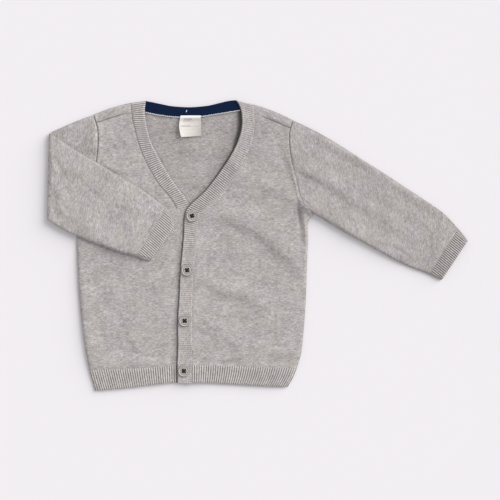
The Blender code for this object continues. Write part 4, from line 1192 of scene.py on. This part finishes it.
def makeBand(name, node, path, corner, under, flat):
    bandJoin = "picked" if under else "joined"
    middle = backNeck.knots[neckCentre]
    behind = middle if under else backNeck.length - middle
    count = round((path.length + behind) / rib["band"])
    pitch = (path.length + behind) / count
    rows = count * rib["steps"]
    plain = path.knots[turnRow] - rib["plainTo"]
    width = rib["bandWidth"]

    def place(column, row):
        mark = pitch * row / rib["steps"]
        share = bandShares[column]
        if mark <= path.length:
            side, section = 1, path.at(mark)
        else:
            step = mark - path.length
            side, section = -1, backNeck.at(step if under else backNeck.length - step)
        x, y = between(section, share)
        distance, inward = foldDistance(x, y, corner)
        across, fromSeam = share * widthOf(section), (1 - share) * widthOf(section)
        phase = row / rib["steps"]
        level = softEnds(across / width, width) * softEnds(fromSeam / width, width)
        shows = showsFrom(mark, path, under)
        edge = rounded(across, *rib["bandEdge"]) + tuck(fromSeam, bandJoin) * shows
        shape = ribShape(phase)
        if side > 0:
            top = frontHeight(x, y, under) - edge
            fullness = ease((mark - plain) / rib["swell"])
            if not under:
                fullness *= 1 - rib["flatBy"] * ease((mark - plain - rib["flatFrom"]) / rib["flatOver"])
            relief = rib["placketRelief"] + (rib["relief"] - rib["placketRelief"]) * fullness
            relief *= shape * level * shows
        else:
            top = lay["thick"]
            relief = -rib["underRelief"] * (0.5 - 0.5 * shape) * level
            relief -= edge * 0.4 * ease(distance / lay["troughFade"])
        cosine, sine = foldTurn(distance)
        z = rolledHeight(distance, top, side) + side * relief * sine
        return (*moved((x, y), inward, -relief * cosine), z), (phase * rib["band"], across)

    makeCloth(name, node, bandMaterial if under else topBandMaterial, "rib",
              (len(bandShares) - 1, rows), place, rib["bandWall"], flat=flat, held="laid",
              rests_on=["back"])


makeBand("band_left_rib", "band_left", leftBand, leftBandRows[-1], False, (0.017, 0.42))
makeBand("band_right_rib", "band_right", rightBand, rightBandRows[-1], True, (0.016, 0.42))
print("ribbed hems and bands made")


# sleeves

sleeve = {
    "flat": 66,          # faces across a laid side
    "leftCount": 118,    # and along each of the stretches
    "upperCount": 24,
    "turnCount": 12,
    "forearmCount": 78,
    "cuffCount": 14,
    "leftTuck": 0.6,     # how deep the left sleeve's seam is, as a share of a sewn one
    "foldRadius": 2.4,   # inside of the bend of the sleeve that is folded back
    "foldOut": (-0.9997, 0.023),          # the way that bend points
    "bodyEdge": -128.0,  # where the forearm begins to lie on the body
    "bodyRise": 12.0,
    "clear": 0.4,        # air under the forearm
    "crown": 0.35,       # how much fuller the middle of a sleeve lies
}


def tubeMarks(flatCount):
    # places round a flat tube: edge it is counted from, distance or share, sine of its turn
    quarter = [(1 - cos(angle), sin(angle)) for angle in rollAngles()]
    flats = [k / flatCount for k in range(1, flatCount)]
    marks = [("low", off, sine) for off, sine in quarter]
    marks += [("flat", share, 1.0) for share in flats]
    marks += [("high", off, sine) for off, sine in reversed(quarter)]
    marks += [("high", off, -sine) for off, sine in quarter[1:]]
    marks += [("flat", share, -1.0) for share in reversed(flats)]
    marks += [("low", off, -sine) for off, sine in reversed(quarter)]
    return marks


def sleevePlan(section, share, armhole):
    # a point of a laid sleeve, which follows the armhole's curve close to it
    x, y = between(section, share)
    if section[4] and armhole:
        outward = -lay["gap"] if armhole is leftArmhole else lay["gap"]
        curved = armhole.beside(armhole.length * share, outward)
        straight = mix(armhole.at(0), armhole.at(armhole.length), share)
        x += section[4] * (curved[0] - straight[0])
        y += section[4] * (curved[1] - straight[1])
    return x, y


def layFlat(armhole):
    def place(section, share, off, inset):
        x, y = sleevePlan(section, share, armhole)
        half = section[5] / 2
        lift = 0.0
        if off > 0:
            crown = sleeve["crown"] * 4 * share * (1 - share)
            lift = (looseHeight(x, y) + crown) * max(0.0, off / half) - inset
        elif off < 0:
            lift = (creaseHeight(backCreases, x, y) + inset) * max(0.0, -off / half)
        return x, y, half + off + lift
    return place


def layOver(section, share, off, inset):
    # the forearm over the body, turned upside down by the fold
    x, y = between(section, share)
    body = frontBase(x, y, True) - lay["thick"] if x > sleeve["bodyEdge"] else 0.0
    bottom = lay["thick"] + sleeve["clear"] + body * ease((x - sleeve["bodyEdge"]) / sleeve["bodyRise"])
    half = section[5] / 2
    lift = 0.0
    if off < 0:
        loose = creaseHeight(mainForearmCreases, x, y) + creaseHeight(fineForearmCreases, x, y)
        crown = sleeve["crown"] * 4 * share * (1 - share)
        lift = (loose + crown + ripple(x, y, 3.0)) * max(0.0, -off / half) - inset
    elif off > 0:
        lift = inset * max(0.0, off / half)
    return x, y, bottom + half - off + lift


def layRound(angle):
    def place(section, share, off, inset):
        reach = (sleeve["foldRadius"] - off) * sin(angle)
        z = section[5] / 2 + sleeve["foldRadius"] * (1 - cos(angle)) + off * cos(angle)
        return *moved(between(section, share), sleeve["foldOut"], reach), z
    return place


def ringPoint(ring, mark, relief=0.0):
    # the outer point of a ring at one of its marks, and how far round it is
    section, place, inset = ring
    edge, amount, sine = mark
    length, roll = widthOf(section), lay["roll"]
    along = {"low": amount * roll, "high": length - amount * roll,
             "flat": roll + amount * (length - 2 * roll)}[edge]
    half = section[5] / 2
    point = place(section, along / length, sine * (half + relief), inset)
    fromHigh = length - along
    if fromHigh < length / 2:
        fromHigh += unrolled(fromHigh)
    else:
        fromHigh += 2 * unrolled(roll) - unrolled(along)
    return point, copysign(fromHigh, sine)


def makeTube(name, node, material, slot, rings, flatCount, wall, ribAt=None, **cut):
    # ribAt(mark, section, along) gives a rib's height there and how far round it is
    marks = tubeMarks(flatCount)
    lengths = [0.0]
    for (a, _, _), (b, _, _) in zip(rings, rings[1:]):
        lengths.append(lengths[-1] + max(dist(betweenEdges(a), betweenEdges(b)), 0.6))

    def place(column, row):
        mark, ring = marks[column], rings[row]
        if not ribAt:
            point, across = ringPoint(ring, mark)
            return point, (across, lengths[row])
        relief, across = ribAt(mark, ring[0], lengths[row])
        return ringPoint(ring, mark, relief)[0], (across, lengths[row])

    makeCloth(name, node, material, slot, (len(marks) - 1, len(rings) - 1), place, wall, **cut)


def sectionsAlong(rows, count, start=(0,)):
    # sections at even steps, and how far each is from both ends
    path = Curve(rows, betweenEdges)
    for k in (*start, *range(1, count + 1)):
        along = path.length * k / count
        yield path.at(along), along, path.length - along


def makeLeftSleeve():
    rings = []
    for section, along, left in sectionsAlong(leftSleeveRows, sleeve["leftCount"], lay["seamRows"]):
        inset = max(sleeve["leftTuck"] * tuck(along), tuck(left, "knitted"))
        rings.append((section, layFlat(leftArmhole), inset))
    makeTube("sleeve_left_cloth", "sleeve_left", sleeveMaterial, "jersey", rings, sleeve["flat"],
             lay["jersey"], flat=(0.23, 0.2), held="laid", area=0.036)


def makeRightSleeve():
    rings = []
    for section, along, _ in sectionsAlong(rightUpperRows, sleeve["upperCount"], lay["seamRows"]):
        rings.append((section, layFlat(rightArmhole), tuck(along)))
    for step in range(1, sleeve["turnCount"]):
        share = step / sleeve["turnCount"]
        rings.append((mix(rightUpperRows[-1], rightForearmRows[0], share), layRound(pi * share), 0.0))
    for section, _, left in sectionsAlong(rightForearmRows, sleeve["forearmCount"]):
        rings.append((section, layOver, tuck(left, "knitted")))
    makeTube("sleeve_right_cloth", "sleeve_right", jerseyMaterial, "jersey", rings, sleeve["flat"],
             lay["jersey"], flat=(0.24, 0.2), held="folded", area=0.037, rests_on=["front_right"])


def makeCuff(name, node, material, rows, layOn, rests):
    width = widthOf(rows[0])
    count = round((width - 2 * lay["roll"]) / rib["cuff"])
    layer = count + rib["turnRibs"]      # ribs in one layer and the edge it turns round
    rings = []
    for section, along, left in sectionsAlong(rows, sleeve["cuffCount"]):
        rings.append((section, layOn, tuck(along, "knitted") + rounded(left, *rib["cuffEdge"])))
    length = along

    def ribAt(mark, section, along):
        # the ribs keep their pitch, so fewer of them lie on top where the cuff is narrower
        edge, amount, sine = mark
        onTop = (widthOf(section) - 2 * lay["roll"]) / rib["cuff"]
        phase = (amount - 0.5) * onTop
        level = softEnds(along / length, length) * softEnds(1 - along / length, length)
        height = rib["relief"] * ribShape(phase) if edge == "flat" else -rib["relief"] * 0.6
        if layOn is not layOver and sine < 0:
            height = min(0.0, height - rib["relief"])
        turned = onTop / 2 + acos(sine) / pi * (layer - onTop)
        if edge == "flat":
            across = phase if sine > 0 else layer - phase
        elif edge == "high":
            across = turned
        else:
            across = -turned if copysign(1, sine) > 0 else 2 * layer - turned
        return height * level, across * rib["cuff"]

    makeTube(name, node, material, "rib", rings, count * rib["steps"], rib["cuffWall"], ribAt,
             flat=(2 * width * mm, length * mm), held="laid", rests_on=rests)


makeLeftSleeve()
makeRightSleeve()
makeCuff("cuff_left_rib", "cuff_left", leftCuffMaterial, leftCuffRows, layFlat(None), [])
makeCuff("cuff_right_rib", "cuff_right", cuffMaterial, rightCuffRows, layOver, ["front_right"])
print("sleeves made")


# trims

tapeLook = {
    "end": 0.9,          # how near the tape comes to the fold of the neck
    "base": 1.62,        # height of its underside
    "wall": 0.75,
    "upper": -0.03,      # its edges, as shares of the way across the neck's band
    "lower": 0.985,
    "width": 12.0,
    "edge": (0.25, 1.0),                  # depth and width of its edges' rounding
    "faces": (96, 10),
    "navy": (0.004, 0.011, 0.039),
    "navyLight": (0.0085, 0.022, 0.071),
    "rib": 1.1,          # pitch of the twill, and of its weft
    "weft": 0.45,
}
labelLook = {
    "middle": (-1.5, 142.4),
    "size": (23.0, 25.0),
    "faces": (26, 64),
    "lies": 0.35,        # height above the cloth behind it
    "overTape": 147.5,   # where it begins to climb onto the tape
    "climb": 4.5,
    "rise": 1.35,
    "curl": 4.4,
    "bow": 2.0,          # of the side towards the wearer's right
    "lean": 0.7,
    "tilt": 1.6,
    "wall": 0.32,
    "plies": 0.42,       # from ply to ply
    "foldReach": 0.8,
    "weft": 0.5,         # pitch of the weave
    "warp": 0.35,
    "white": (0.80, 0.745, 0.69),
    "shade": (0.34, 0.325, 0.33),
    "top": (0.93, 0.93, 0.97),
    "topWidth": 2.6,
    "bars": (            # down from the top, start and end across, half height, strength; the first two are woven marks, the last two painted shade of a fold across the label
        (4.4, 3.5, 13.5, 1.5, 0.95), (6.6, 2.5, 12.0, 1.3, 0.75), (12.6, 0.8, 12.0, 1.6, 0.85),
        (13.2, 10.0, 21.0, 1.4, 0.45),
    ),
}


def makeTapeMaterial():
    material, tree, shader = newMaterial("neck_tape", Roughness=0.85, Sheen_Weight=0.02,
                                         Sheen_Roughness=0.4, Specular_IOR_Level=0.08)
    place = knitPlace(tree)
    x, y, _ = split(tree, place)
    twill = (x + y * 0.8).wave(tapeLook["rib"])
    hair = placeGroup(tree, fuzz, Place=place, Size=1.0)["Height"]
    share = (twill * 0.22 + hair - 0.25).within()
    plug(tree, blend(tree, share, tapeLook["navy"], tapeLook["navyLight"]), shader.inputs["Base Color"])
    addBump(tree, shader, twill * 0.5 + y.wave(tapeLook["weft"]) * 0.2 + hair, 0.00012)
    return material


def makeTape():
    start, end = tapeLook["end"], backNeck.length - tapeLook["end"]
    (columns, rows), width = tapeLook["faces"], tapeLook["width"]

    def place(column, row):
        mark = start + (end - start) * column / columns
        share = tapeLook["upper"] + (tapeLook["lower"] - tapeLook["upper"]) * row / rows
        x, y = between(backNeck.at(mark), share)
        distance = foldDistance(x, y, rightBandRows[-1] if x < 0 else leftBandRows[-1])[0]
        climb = (lay["thick"] / 2 - tapeLook["base"]) * (1 - foldTurn(distance)[1])
        across = width * row / rows
        z = tapeLook["base"] + tapeLook["wall"] + 0.6 * climb + 0.12 * ripple(x * 2, y * 2, 11.0)
        return (x, y, z - rounded(min(across, width - across), *tapeLook["edge"])), (mark, across)

    makeCloth("neck_tape_cloth", "neck_tape", makeTapeMaterial(), "tape", (columns, rows), place,
              tapeLook["wall"], flat=(0.135, 0.0125), held="laid",
              rests_on=["band_left", "band_right"])


def makeLabelMaterial():
    # satin with a bright folded top, two woven bars and painted shade of a fold across it, and nothing
    # written on it
    material, tree, shader = newMaterial("label_satin", Roughness=0.5, Sheen_Weight=0.1,
                                         Specular_IOR_Level=0.35)
    place = knitPlace(tree)
    x, y, _ = split(tree, place)
    hair = placeGroup(tree, fuzz, Place=place, Size=0.45)["Height"]
    shade = (hair - 0.35).within() * 1.2
    # woven marks, and painted shade where the label is folded across
    for middle, start, end, height, strength in labelLook["bars"]:
        bar = (strength - abs(y - middle) * (strength / height)).within()
        inside = ((end - start) / 2 - abs(x - (start + end) / 2)).within()
        shade = maths(tree, "MAXIMUM", shade, bar * inside)
    satin = blend(tree, shade, labelLook["white"], labelLook["shade"])
    top = 1.0 - maths(tree, "GREATER_THAN", abs(y), labelLook["topWidth"])
    plug(tree, blend(tree, top, satin, labelLook["top"]), shader.inputs["Base Color"])
    addBump(tree, shader, y.wave(labelLook["weft"]) * 0.5 + x.wave(labelLook["warp"]) * 0.2, 0.00006)
    return material


def makeLabel():
    # one strip, folded at its top so that two plies hang from it
    (middleX, middleY), (wide, tall) = labelLook["middle"], labelLook["size"]
    columns, rows = labelLook["faces"]

    def place(column, row):
        share = column / columns
        way = (row / rows - 0.5) * 2                     # -1 back ply's foot, 0 fold, 1 front's
        down = abs(way)
        x = middleX + wide * (share - 0.5) + labelLook["lean"] * down
        x -= labelLook["bow"] * sin(pi * down) * (1 - share) ** 2
        y = middleY + tall * (0.5 - down)
        overTape = ease((y - labelLook["overTape"]) / labelLook["climb"])
        y += labelLook["tilt"] * share * down
        curl = labelLook["curl"] * ((1 - share) ** 3 + 0.4 * share ** 5) * ease(down * 1.6)
        wave = 0.25 * sin(2.6 * pi * down + 2 * share) * ease(down * 3)
        z = lay["jersey"] + labelLook["lies"] + labelLook["rise"] * overTape + curl + wave
        if way > 0:
            fold = max(0.0, 1 - down * tall / labelLook["foldReach"])
            z += labelLook["plies"] * sqrt(1 - fold ** 2)
        return (x, y, z + labelLook["wall"]), (wide * share, way * tall)

    makeCloth("label_cloth", "label", makeLabelMaterial(), "label", (columns, rows), place,
              labelLook["wall"] * 0.8, flat=(0.023, 0.05), held="folded",
              rests_on=["neck_tape", "back"])


makeTape()
makeLabel()
print("tape and label made")


# buttons and sewing

button = {
    "places": ((0.2, 39.2), (-5.5, -23.2), (-8.3, -81.3), (-9.2, -139.0)),
    "turns": (14, 6, 3, -3),              # degrees
    "width": 13.4,
    "thick": 2.2,
    "underRim": (0.9, 0.85),              # rounding under the rim, and over it
    "rim": 0.55,
    "hole": 1.6,
    "dish": 0.75,        # depth of the middle
    "spread": 1.7,       # of the holes from the middle, both ways
    "light": (0.61, 0.57, 0.535),
    "dark": (0.43, 0.395, 0.37),
    "rings": (           # painted shade on the horn, round its edge, in its groove and at the dish: radius, half width, strength
        (6.8, 0.75, 0.95), (4.6, 0.7, 0.55), (2.7, 0.8, 0.12),
    ),
    "face": (            # groove and raised ring: distance in from the rim, depth
        (1.2, 0.0), (1.45, 0.12), (1.75, 0.5), (2.0, 0.62), (2.3, 0.58), (2.55, 0.3), (2.8, 0.16),
        (3.3, 0.15),
    ),
    # colour of the painted shade rings
    "ringColour": (0.13, 0.115, 0.105),
    "apart": 31.0,       # between two buttons in the knit coordinates
    "thread": 0.57,      # radius of a strand of the sewing thread
    "strands": 0.5,      # from strand to strand
    "crossing": 0.28,    # how much higher the upper strands lie
    "raise": 0.1,        # of the cloth's face under a button
}


def makeButtonMaterial():
    material, tree, shader = newMaterial("button_horn", Roughness=0.45, Coat_Weight=0.12,
                                         Coat_Roughness=0.3, Specular_IOR_Level=0.4)
    place = knitPlace(tree)
    stretched = addNode(tree, "ShaderNodeMapping", {"Vector": place, "Scale": (0.16, 0.5, 1.0)})
    cloud = clouds(tree, stretched.outputs[0], 1.0, 4.0, Distortion=1.6)
    colour = blend(tree, ramp(tree, cloud, 0.3, 0.7), button["dark"], button["light"])
    x, y, _ = split(tree, place)
    x = ((x / button["apart"] + 0.5).fraction() - 0.5) * button["apart"]
    radius = maths(tree, "SQRT", x * x + y * y)
    # painted shade in rings round the edge, the groove and the dish
    for middle, width, strength in button["rings"]:
        off = (radius - middle) / width
        colour = blend(tree, (1.0 - off * off).within() * strength, colour, button["ringColour"])
    plug(tree, colour, shader.inputs["Base Color"])
    grain = clouds(tree, place, 3.0, 3.0)
    plug(tree, grain * 0.2 + 0.36, shader.inputs["Roughness"])
    addBump(tree, shader, grain, 0.00004)
    return material


def makeThreadMaterial(name, light, dark, pitch, sheen=0.2):
    material, tree, shader = newMaterial(name, Roughness=0.7, Sheen_Weight=sheen, Sheen_Roughness=0.4)
    spot = addNode(tree, "ShaderNodeTexCoord").outputs["Object"]
    scaled = addNode(tree, "ShaderNodeVectorMath", {0: spot, "Scale": 1000.0}, operation="SCALE")
    x, y, z = split(tree, scaled.outputs[0])
    share = (x + (y + z)).wave(pitch) * 0.5 + 0.5
    plug(tree, blend(tree, share, dark, light), shader.inputs["Base Color"])
    addBump(tree, shader, share, 0.00008)
    return material


def turn(work, profile, steps):
    # a turned shape from radius and height pairs
    corners = [work.verts.new((radius * mm, 0, z * mm)) for radius, z in profile]
    edges = [work.edges.new(pair) for pair in zip(corners, corners[1:])]
    bmesh.ops.spin(work, geom=corners + edges, cent=(0, 0, 0), axis=(0, 0, 1), angle=2 * pi,
                   steps=steps, use_merge=True)
    bmesh.ops.remove_doubles(work, verts=work.verts[:], dist=0.000005)
    bmesh.ops.recalc_face_normals(work, faces=work.faces[:])


def arc(x, z, wide, high, angles):
    return [(x + wide * cos(radians(angle)), z + high * sin(radians(angle))) for angle in angles]


def makeButtonShape():
    # a rounded rim, a groove, a raised ring and a dish for the thread
    outer, thick = button["width"] / 2, button["thick"]
    (wide, high), rim = button["underRim"], button["rim"]
    dish = thick - button["dish"]
    profile = [(0.0, 0.0), (outer - 1.3, 0.0)]
    profile += arc(outer - wide, high, wide, high, (-65, -40, -15))
    profile += arc(outer - rim, thick - rim, rim, rim, range(0, 91, 18))
    profile += [(outer - inward, thick - depth) for inward, depth in button["face"]]
    profile += [(outer - 3.7, dish + 0.25), (outer - 4.1, dish), (1.2, dish), (0.0, dish)]
    work = bmesh.new()
    turn(work, profile, 64)
    blank = addObject("button_blank", work)
    work = bmesh.new()
    radius, spread = button["hole"] / 2 * mm, button["spread"] * mm
    for x, y in ((1, 1), (-1, 1), (-1, -1), (1, -1)):
        drill = bmesh.ops.create_cone(work, cap_ends=True, segments=20, radius1=radius, radius2=radius,
                                      depth=3 * thick * mm)
        bmesh.ops.translate(work, verts=drill["verts"], vec=(x * spread, y * spread, 0))
    drills = addObject("drills", work)
    cut = blank.modifiers.new("holes", "BOOLEAN")
    cut.operation, cut.object = "DIFFERENCE", drills
    made = bpy.data.meshes.new_from_object(blank.evaluated_get(bpy.context.evaluated_depsgraph_get()))
    for item in (blank, drills):
        bpy.data.objects.remove(item, do_unlink=True)
    return made


def addButton(shape, number, x, y, turned):
    base = frontBase(x, y, False) + button["raise"]
    work = bmesh.new()
    work.from_mesh(shape)
    uvMap = work.loops.layers.uv.new("knit")
    bmesh.ops.rotate(work, verts=work.verts[:], matrix=Matrix.Rotation(turned, 3, "Z"))
    for face in work.faces:
        for loop in face.loops:
            loop[uvMap].uv = (loop.vert.co.x / mm + button["apart"] * number, loop.vert.co.y / mm)
    bmesh.ops.translate(work, verts=work.verts[:], vec=(x * mm, y * mm, base * mm))
    piece = addPiece(f"button_{number}_turned", work, buttonMaterial, "button", f"button_{number}")
    piece.data.set_sharp_from_angle(angle=radians(40))
    return base


def strandTube(work, points, radius, sides=6):
    # a thread through the points, closed at both ends
    path = [Vector(point) * mm for point in points]
    angles = [2 * pi * side / sides for side in range(sides)]
    spokes = [Vector((cos(angle) * radius * mm, sin(angle) * radius * mm, 0)) for angle in angles]
    ring = None
    for k, point in enumerate(path):
        ahead = path[min(k + 1, len(path) - 1)] - path[max(k - 1, 0)]
        turned = ahead.to_track_quat("Z", "Y").to_matrix()
        corners = [work.verts.new(point + turned @ spoke) for spoke in spokes]
        edges = [work.edges.new((corners[s], corners[(s + 1) % sides])) for s in range(sides)]
        if ring is None:
            work.faces.new(corners[::-1])
        else:
            bmesh.ops.bridge_loops(work, edges=ring + edges)
        ring, last = edges, corners
    work.faces.new(last)


def closeThread(name, work, material):
    bmesh.ops.recalc_face_normals(work, faces=work.faces[:])
    addPiece(name, work, material, "thread")


def addButtonThread(work, x, y, base, turned):
    # three strands each way through the four holes, crossing in the middle
    deck = base + button["thick"] - button["dish"]
    turnedWay = Matrix.Rotation(turned, 2)
    for way, (ax, ay) in enumerate(((1, 1), (1, -1))):
        for strand in (-1, 0, 1):
            shift = button["strands"] * strand * 0.7
            points = []
            for k in range(11):
                share = k / 5 - 1
                along = share * (button["spread"] + 0.12)
                offX, offY = turnedWay @ Vector((along * ax - shift * ay, along * ay + shift * ax))
                rise = 0.55 + button["crossing"] * way + 0.1 * (1 - abs(strand))
                sunk = 3.4 * max(0.0, abs(share) - 0.72)
                points.append((x + offX, y + offY, deck + rise - sunk))
            strandTube(work, points, button["thread"])


buttonMaterial = makeButtonMaterial()
blackThread = makeThreadMaterial("black_thread", (0.006, 0.006, 0.008), (0.002, 0.002, 0.003), 0.5, 0.0)
# painted shade: the seam thread is much darker than the yarn, standing for the shade in the seams' grooves
greyThread = makeThreadMaterial("grey_thread", (0.22, 0.205, 0.195), (0.10, 0.095, 0.09), 0.7, 0.05)
whiteThread = makeThreadMaterial("white_thread", (0.93, 0.93, 0.97), (0.74, 0.75, 0.8), 0.5)
buttonShape = makeButtonShape()
work = bmesh.new()
for number, (x, y) in enumerate(button["places"], 1):
    turned = radians(button["turns"][number - 1])
    base = addButton(buttonShape, number, x, y, turned)
    addButtonThread(work, x, y, base, turned)
closeThread("button_threads", work, blackThread)
print("buttons made")


sewing = {
    "pitch": 1.5,        # length of a stitch that joins two pieces
    "radius": 0.2,
    "sway": 0.32,
    "sink": 0.28,        # how deep the stitches lie under the cloth beside them
    "frontFrom": 150.0,  # where the right front's seam comes out from under the left band
    "armFrom": 0.54,     # share of an armhole above which its stitches show
    "ends": 4.0,         # left free at the ends of a seam
    "neckEnd": 9.0,      # and at the neck's end of a shoulder's
    "tapeStitch": 1.7,
    "tapeGap": 0.75,
    "tapeRadius": 0.48,
    "tack": (-6.4, 159.8),                # middle of the short double stitch across the tape
    "tackWay": (0.6, 2.3),
    "tackRadius": 0.24,
}


def linkSeam(work, path, start, end, under=False):
    # the chain that links two pieces, swaying from one to the other; it follows the cloth
    # round the fold at the path's end
    count = round((end - start) / (sewing["pitch"] / 4))
    points = []
    for k in range(count + 1):
        mark = start + (end - start) * k / count
        x, y = path.beside(mark, sewing["sway"] * sin(k * pi / 2))
        top = rolledHeight(path.length - mark, frontHeight(x, y, under), 1)
        points.append((x, y, top - sewing["sink"]))
    strandTube(work, points, sewing["radius"], 4)


def sewSeams():
    work = bmesh.new()
    linkSeam(work, rightSeam, sewing["frontFrom"], rightSeam.length - sewing["ends"], True)
    for armhole, under in ((leftArmhole, False), (rightArmhole, True)):
        linkSeam(work, armhole, sewing["armFrom"] * armhole.length, armhole.length - 0.6, under)
    for armhole, band in ((leftArmhole, leftSeam), (rightArmhole, rightSeam)):
        corner, neckPoint = band.at(band.length), band.at(band.length - lay["yoke"])
        line = Curve([shoulderEdge(armhole, corner, k / 8, lay["yoke"], neckPoint) for k in range(9)])
        linkSeam(work, line, 1.0, line.length - sewing["neckEnd"])
    # the dark thread stands for the shade in the grooves, as painted shade
    closeThread("seam_links", work, greyThread)


def sewTape():
    # short light stitches along the tape's lower edge, none quite like the next
    work = bmesh.new()
    top = tapeLook["base"] + tapeLook["wall"]
    mark = sewing["ends"]
    while mark < neckSeam.length - sewing["ends"]:
        uneven = noise.noise(Vector((mark / 3, 0.0, 5.0)))
        size = sewing["tapeStitch"] * (1 + 0.3 * uneven)
        points = []
        for share in (0.0, 0.15, 0.5, 0.85, 1.0):
            x, y = neckSeam.beside(mark + size * share, 0.5 * (0.5 - share) + 0.5 * uneven)
            points.append((x, y, top + 0.2 - 0.35 * (2 * share - 1) ** 4))
        if abs(points[2][0] - labelLook["middle"][0]) > labelLook["size"][0] / 2 + 0.5:
            strandTube(work, points, sewing["tapeRadius"])
        mark += size + sewing["tapeGap"] * (1 + 0.5 * uneven)
    tackX, tackY = sewing["tack"]
    for shift in (-0.2, 0.2):
        points = []
        for share in (-0.5, -0.25, 0.0, 0.25, 0.5):
            x, y = moved((tackX + shift, tackY), sewing["tackWay"], share)
            points.append((x, y, top + 0.15 - 0.4 * share * share))
        strandTube(work, points, sewing["tackRadius"])
    closeThread("tape_stitches", work, whiteThread)


sewSeams()
sewTape()
print("sewing done")


# the floor, light and camera

studio = {
    "floor": (0.865, 0.835, 0.855),
    "perPixel": 1.15,    # millimetres of the garment's upper face to a pixel of 500
    "height": 1600.0,
    "centre": (66.7, 0.0),                # the point straight under the lens
    "sensor": 36.0,
    "sunTilt": 62.0,     # from straight above
    "sunBearing": 36.0,  # from the wearer's left towards the neck
    "sun": 2.95,
    "sunWidth": 50.0,
    "sky": 0.60,
}


def setStudio():
    work = bmesh.new()
    bmesh.ops.create_grid(work, x_segments=2, y_segments=2, size=40.0)
    paper, _, shader = newMaterial("floor_paper", Roughness=0.9, Specular_IOR_Level=0.1)
    shader.inputs["Base Color"].default_value = (*studio["floor"], 1.0)
    floor = addObject("floor", work, paper)
    floor.location.z = -0.0001

    world = bpy.data.worlds.new("studio")
    world.use_nodes = True
    sky = world.node_tree.nodes["Background"]
    sky.inputs["Color"].default_value = (0.98, 0.98, 1.0, 1.0)
    sky.inputs["Strength"].default_value = studio["sky"]
    bpy.context.scene.world = world

    sun = bpy.data.lights.new("sun", "SUN")
    sun.energy = studio["sun"]
    sun.angle = radians(studio["sunWidth"])
    lamp = bpy.data.objects.new("sun", sun)
    lamp.rotation_euler = (0.0, radians(studio["sunTilt"]), radians(studio["sunBearing"]))
    bpy.context.scene.collection.objects.link(lamp)

    camera = bpy.data.cameras.new("camera")
    camera.sensor_width = studio["sensor"]
    span = 500 * studio["perPixel"]
    camera.lens = studio["sensor"] * (studio["height"] - lay["thick"]) / span
    eye = bpy.data.objects.new("camera", camera)
    eye.location = (studio["centre"][0] * mm, studio["centre"][1] * mm, studio["height"] * mm)
    bpy.context.scene.collection.objects.link(eye)
    bpy.context.scene.camera = eye
    bpy.context.scene.view_settings.view_transform = "Standard"


setStudio()
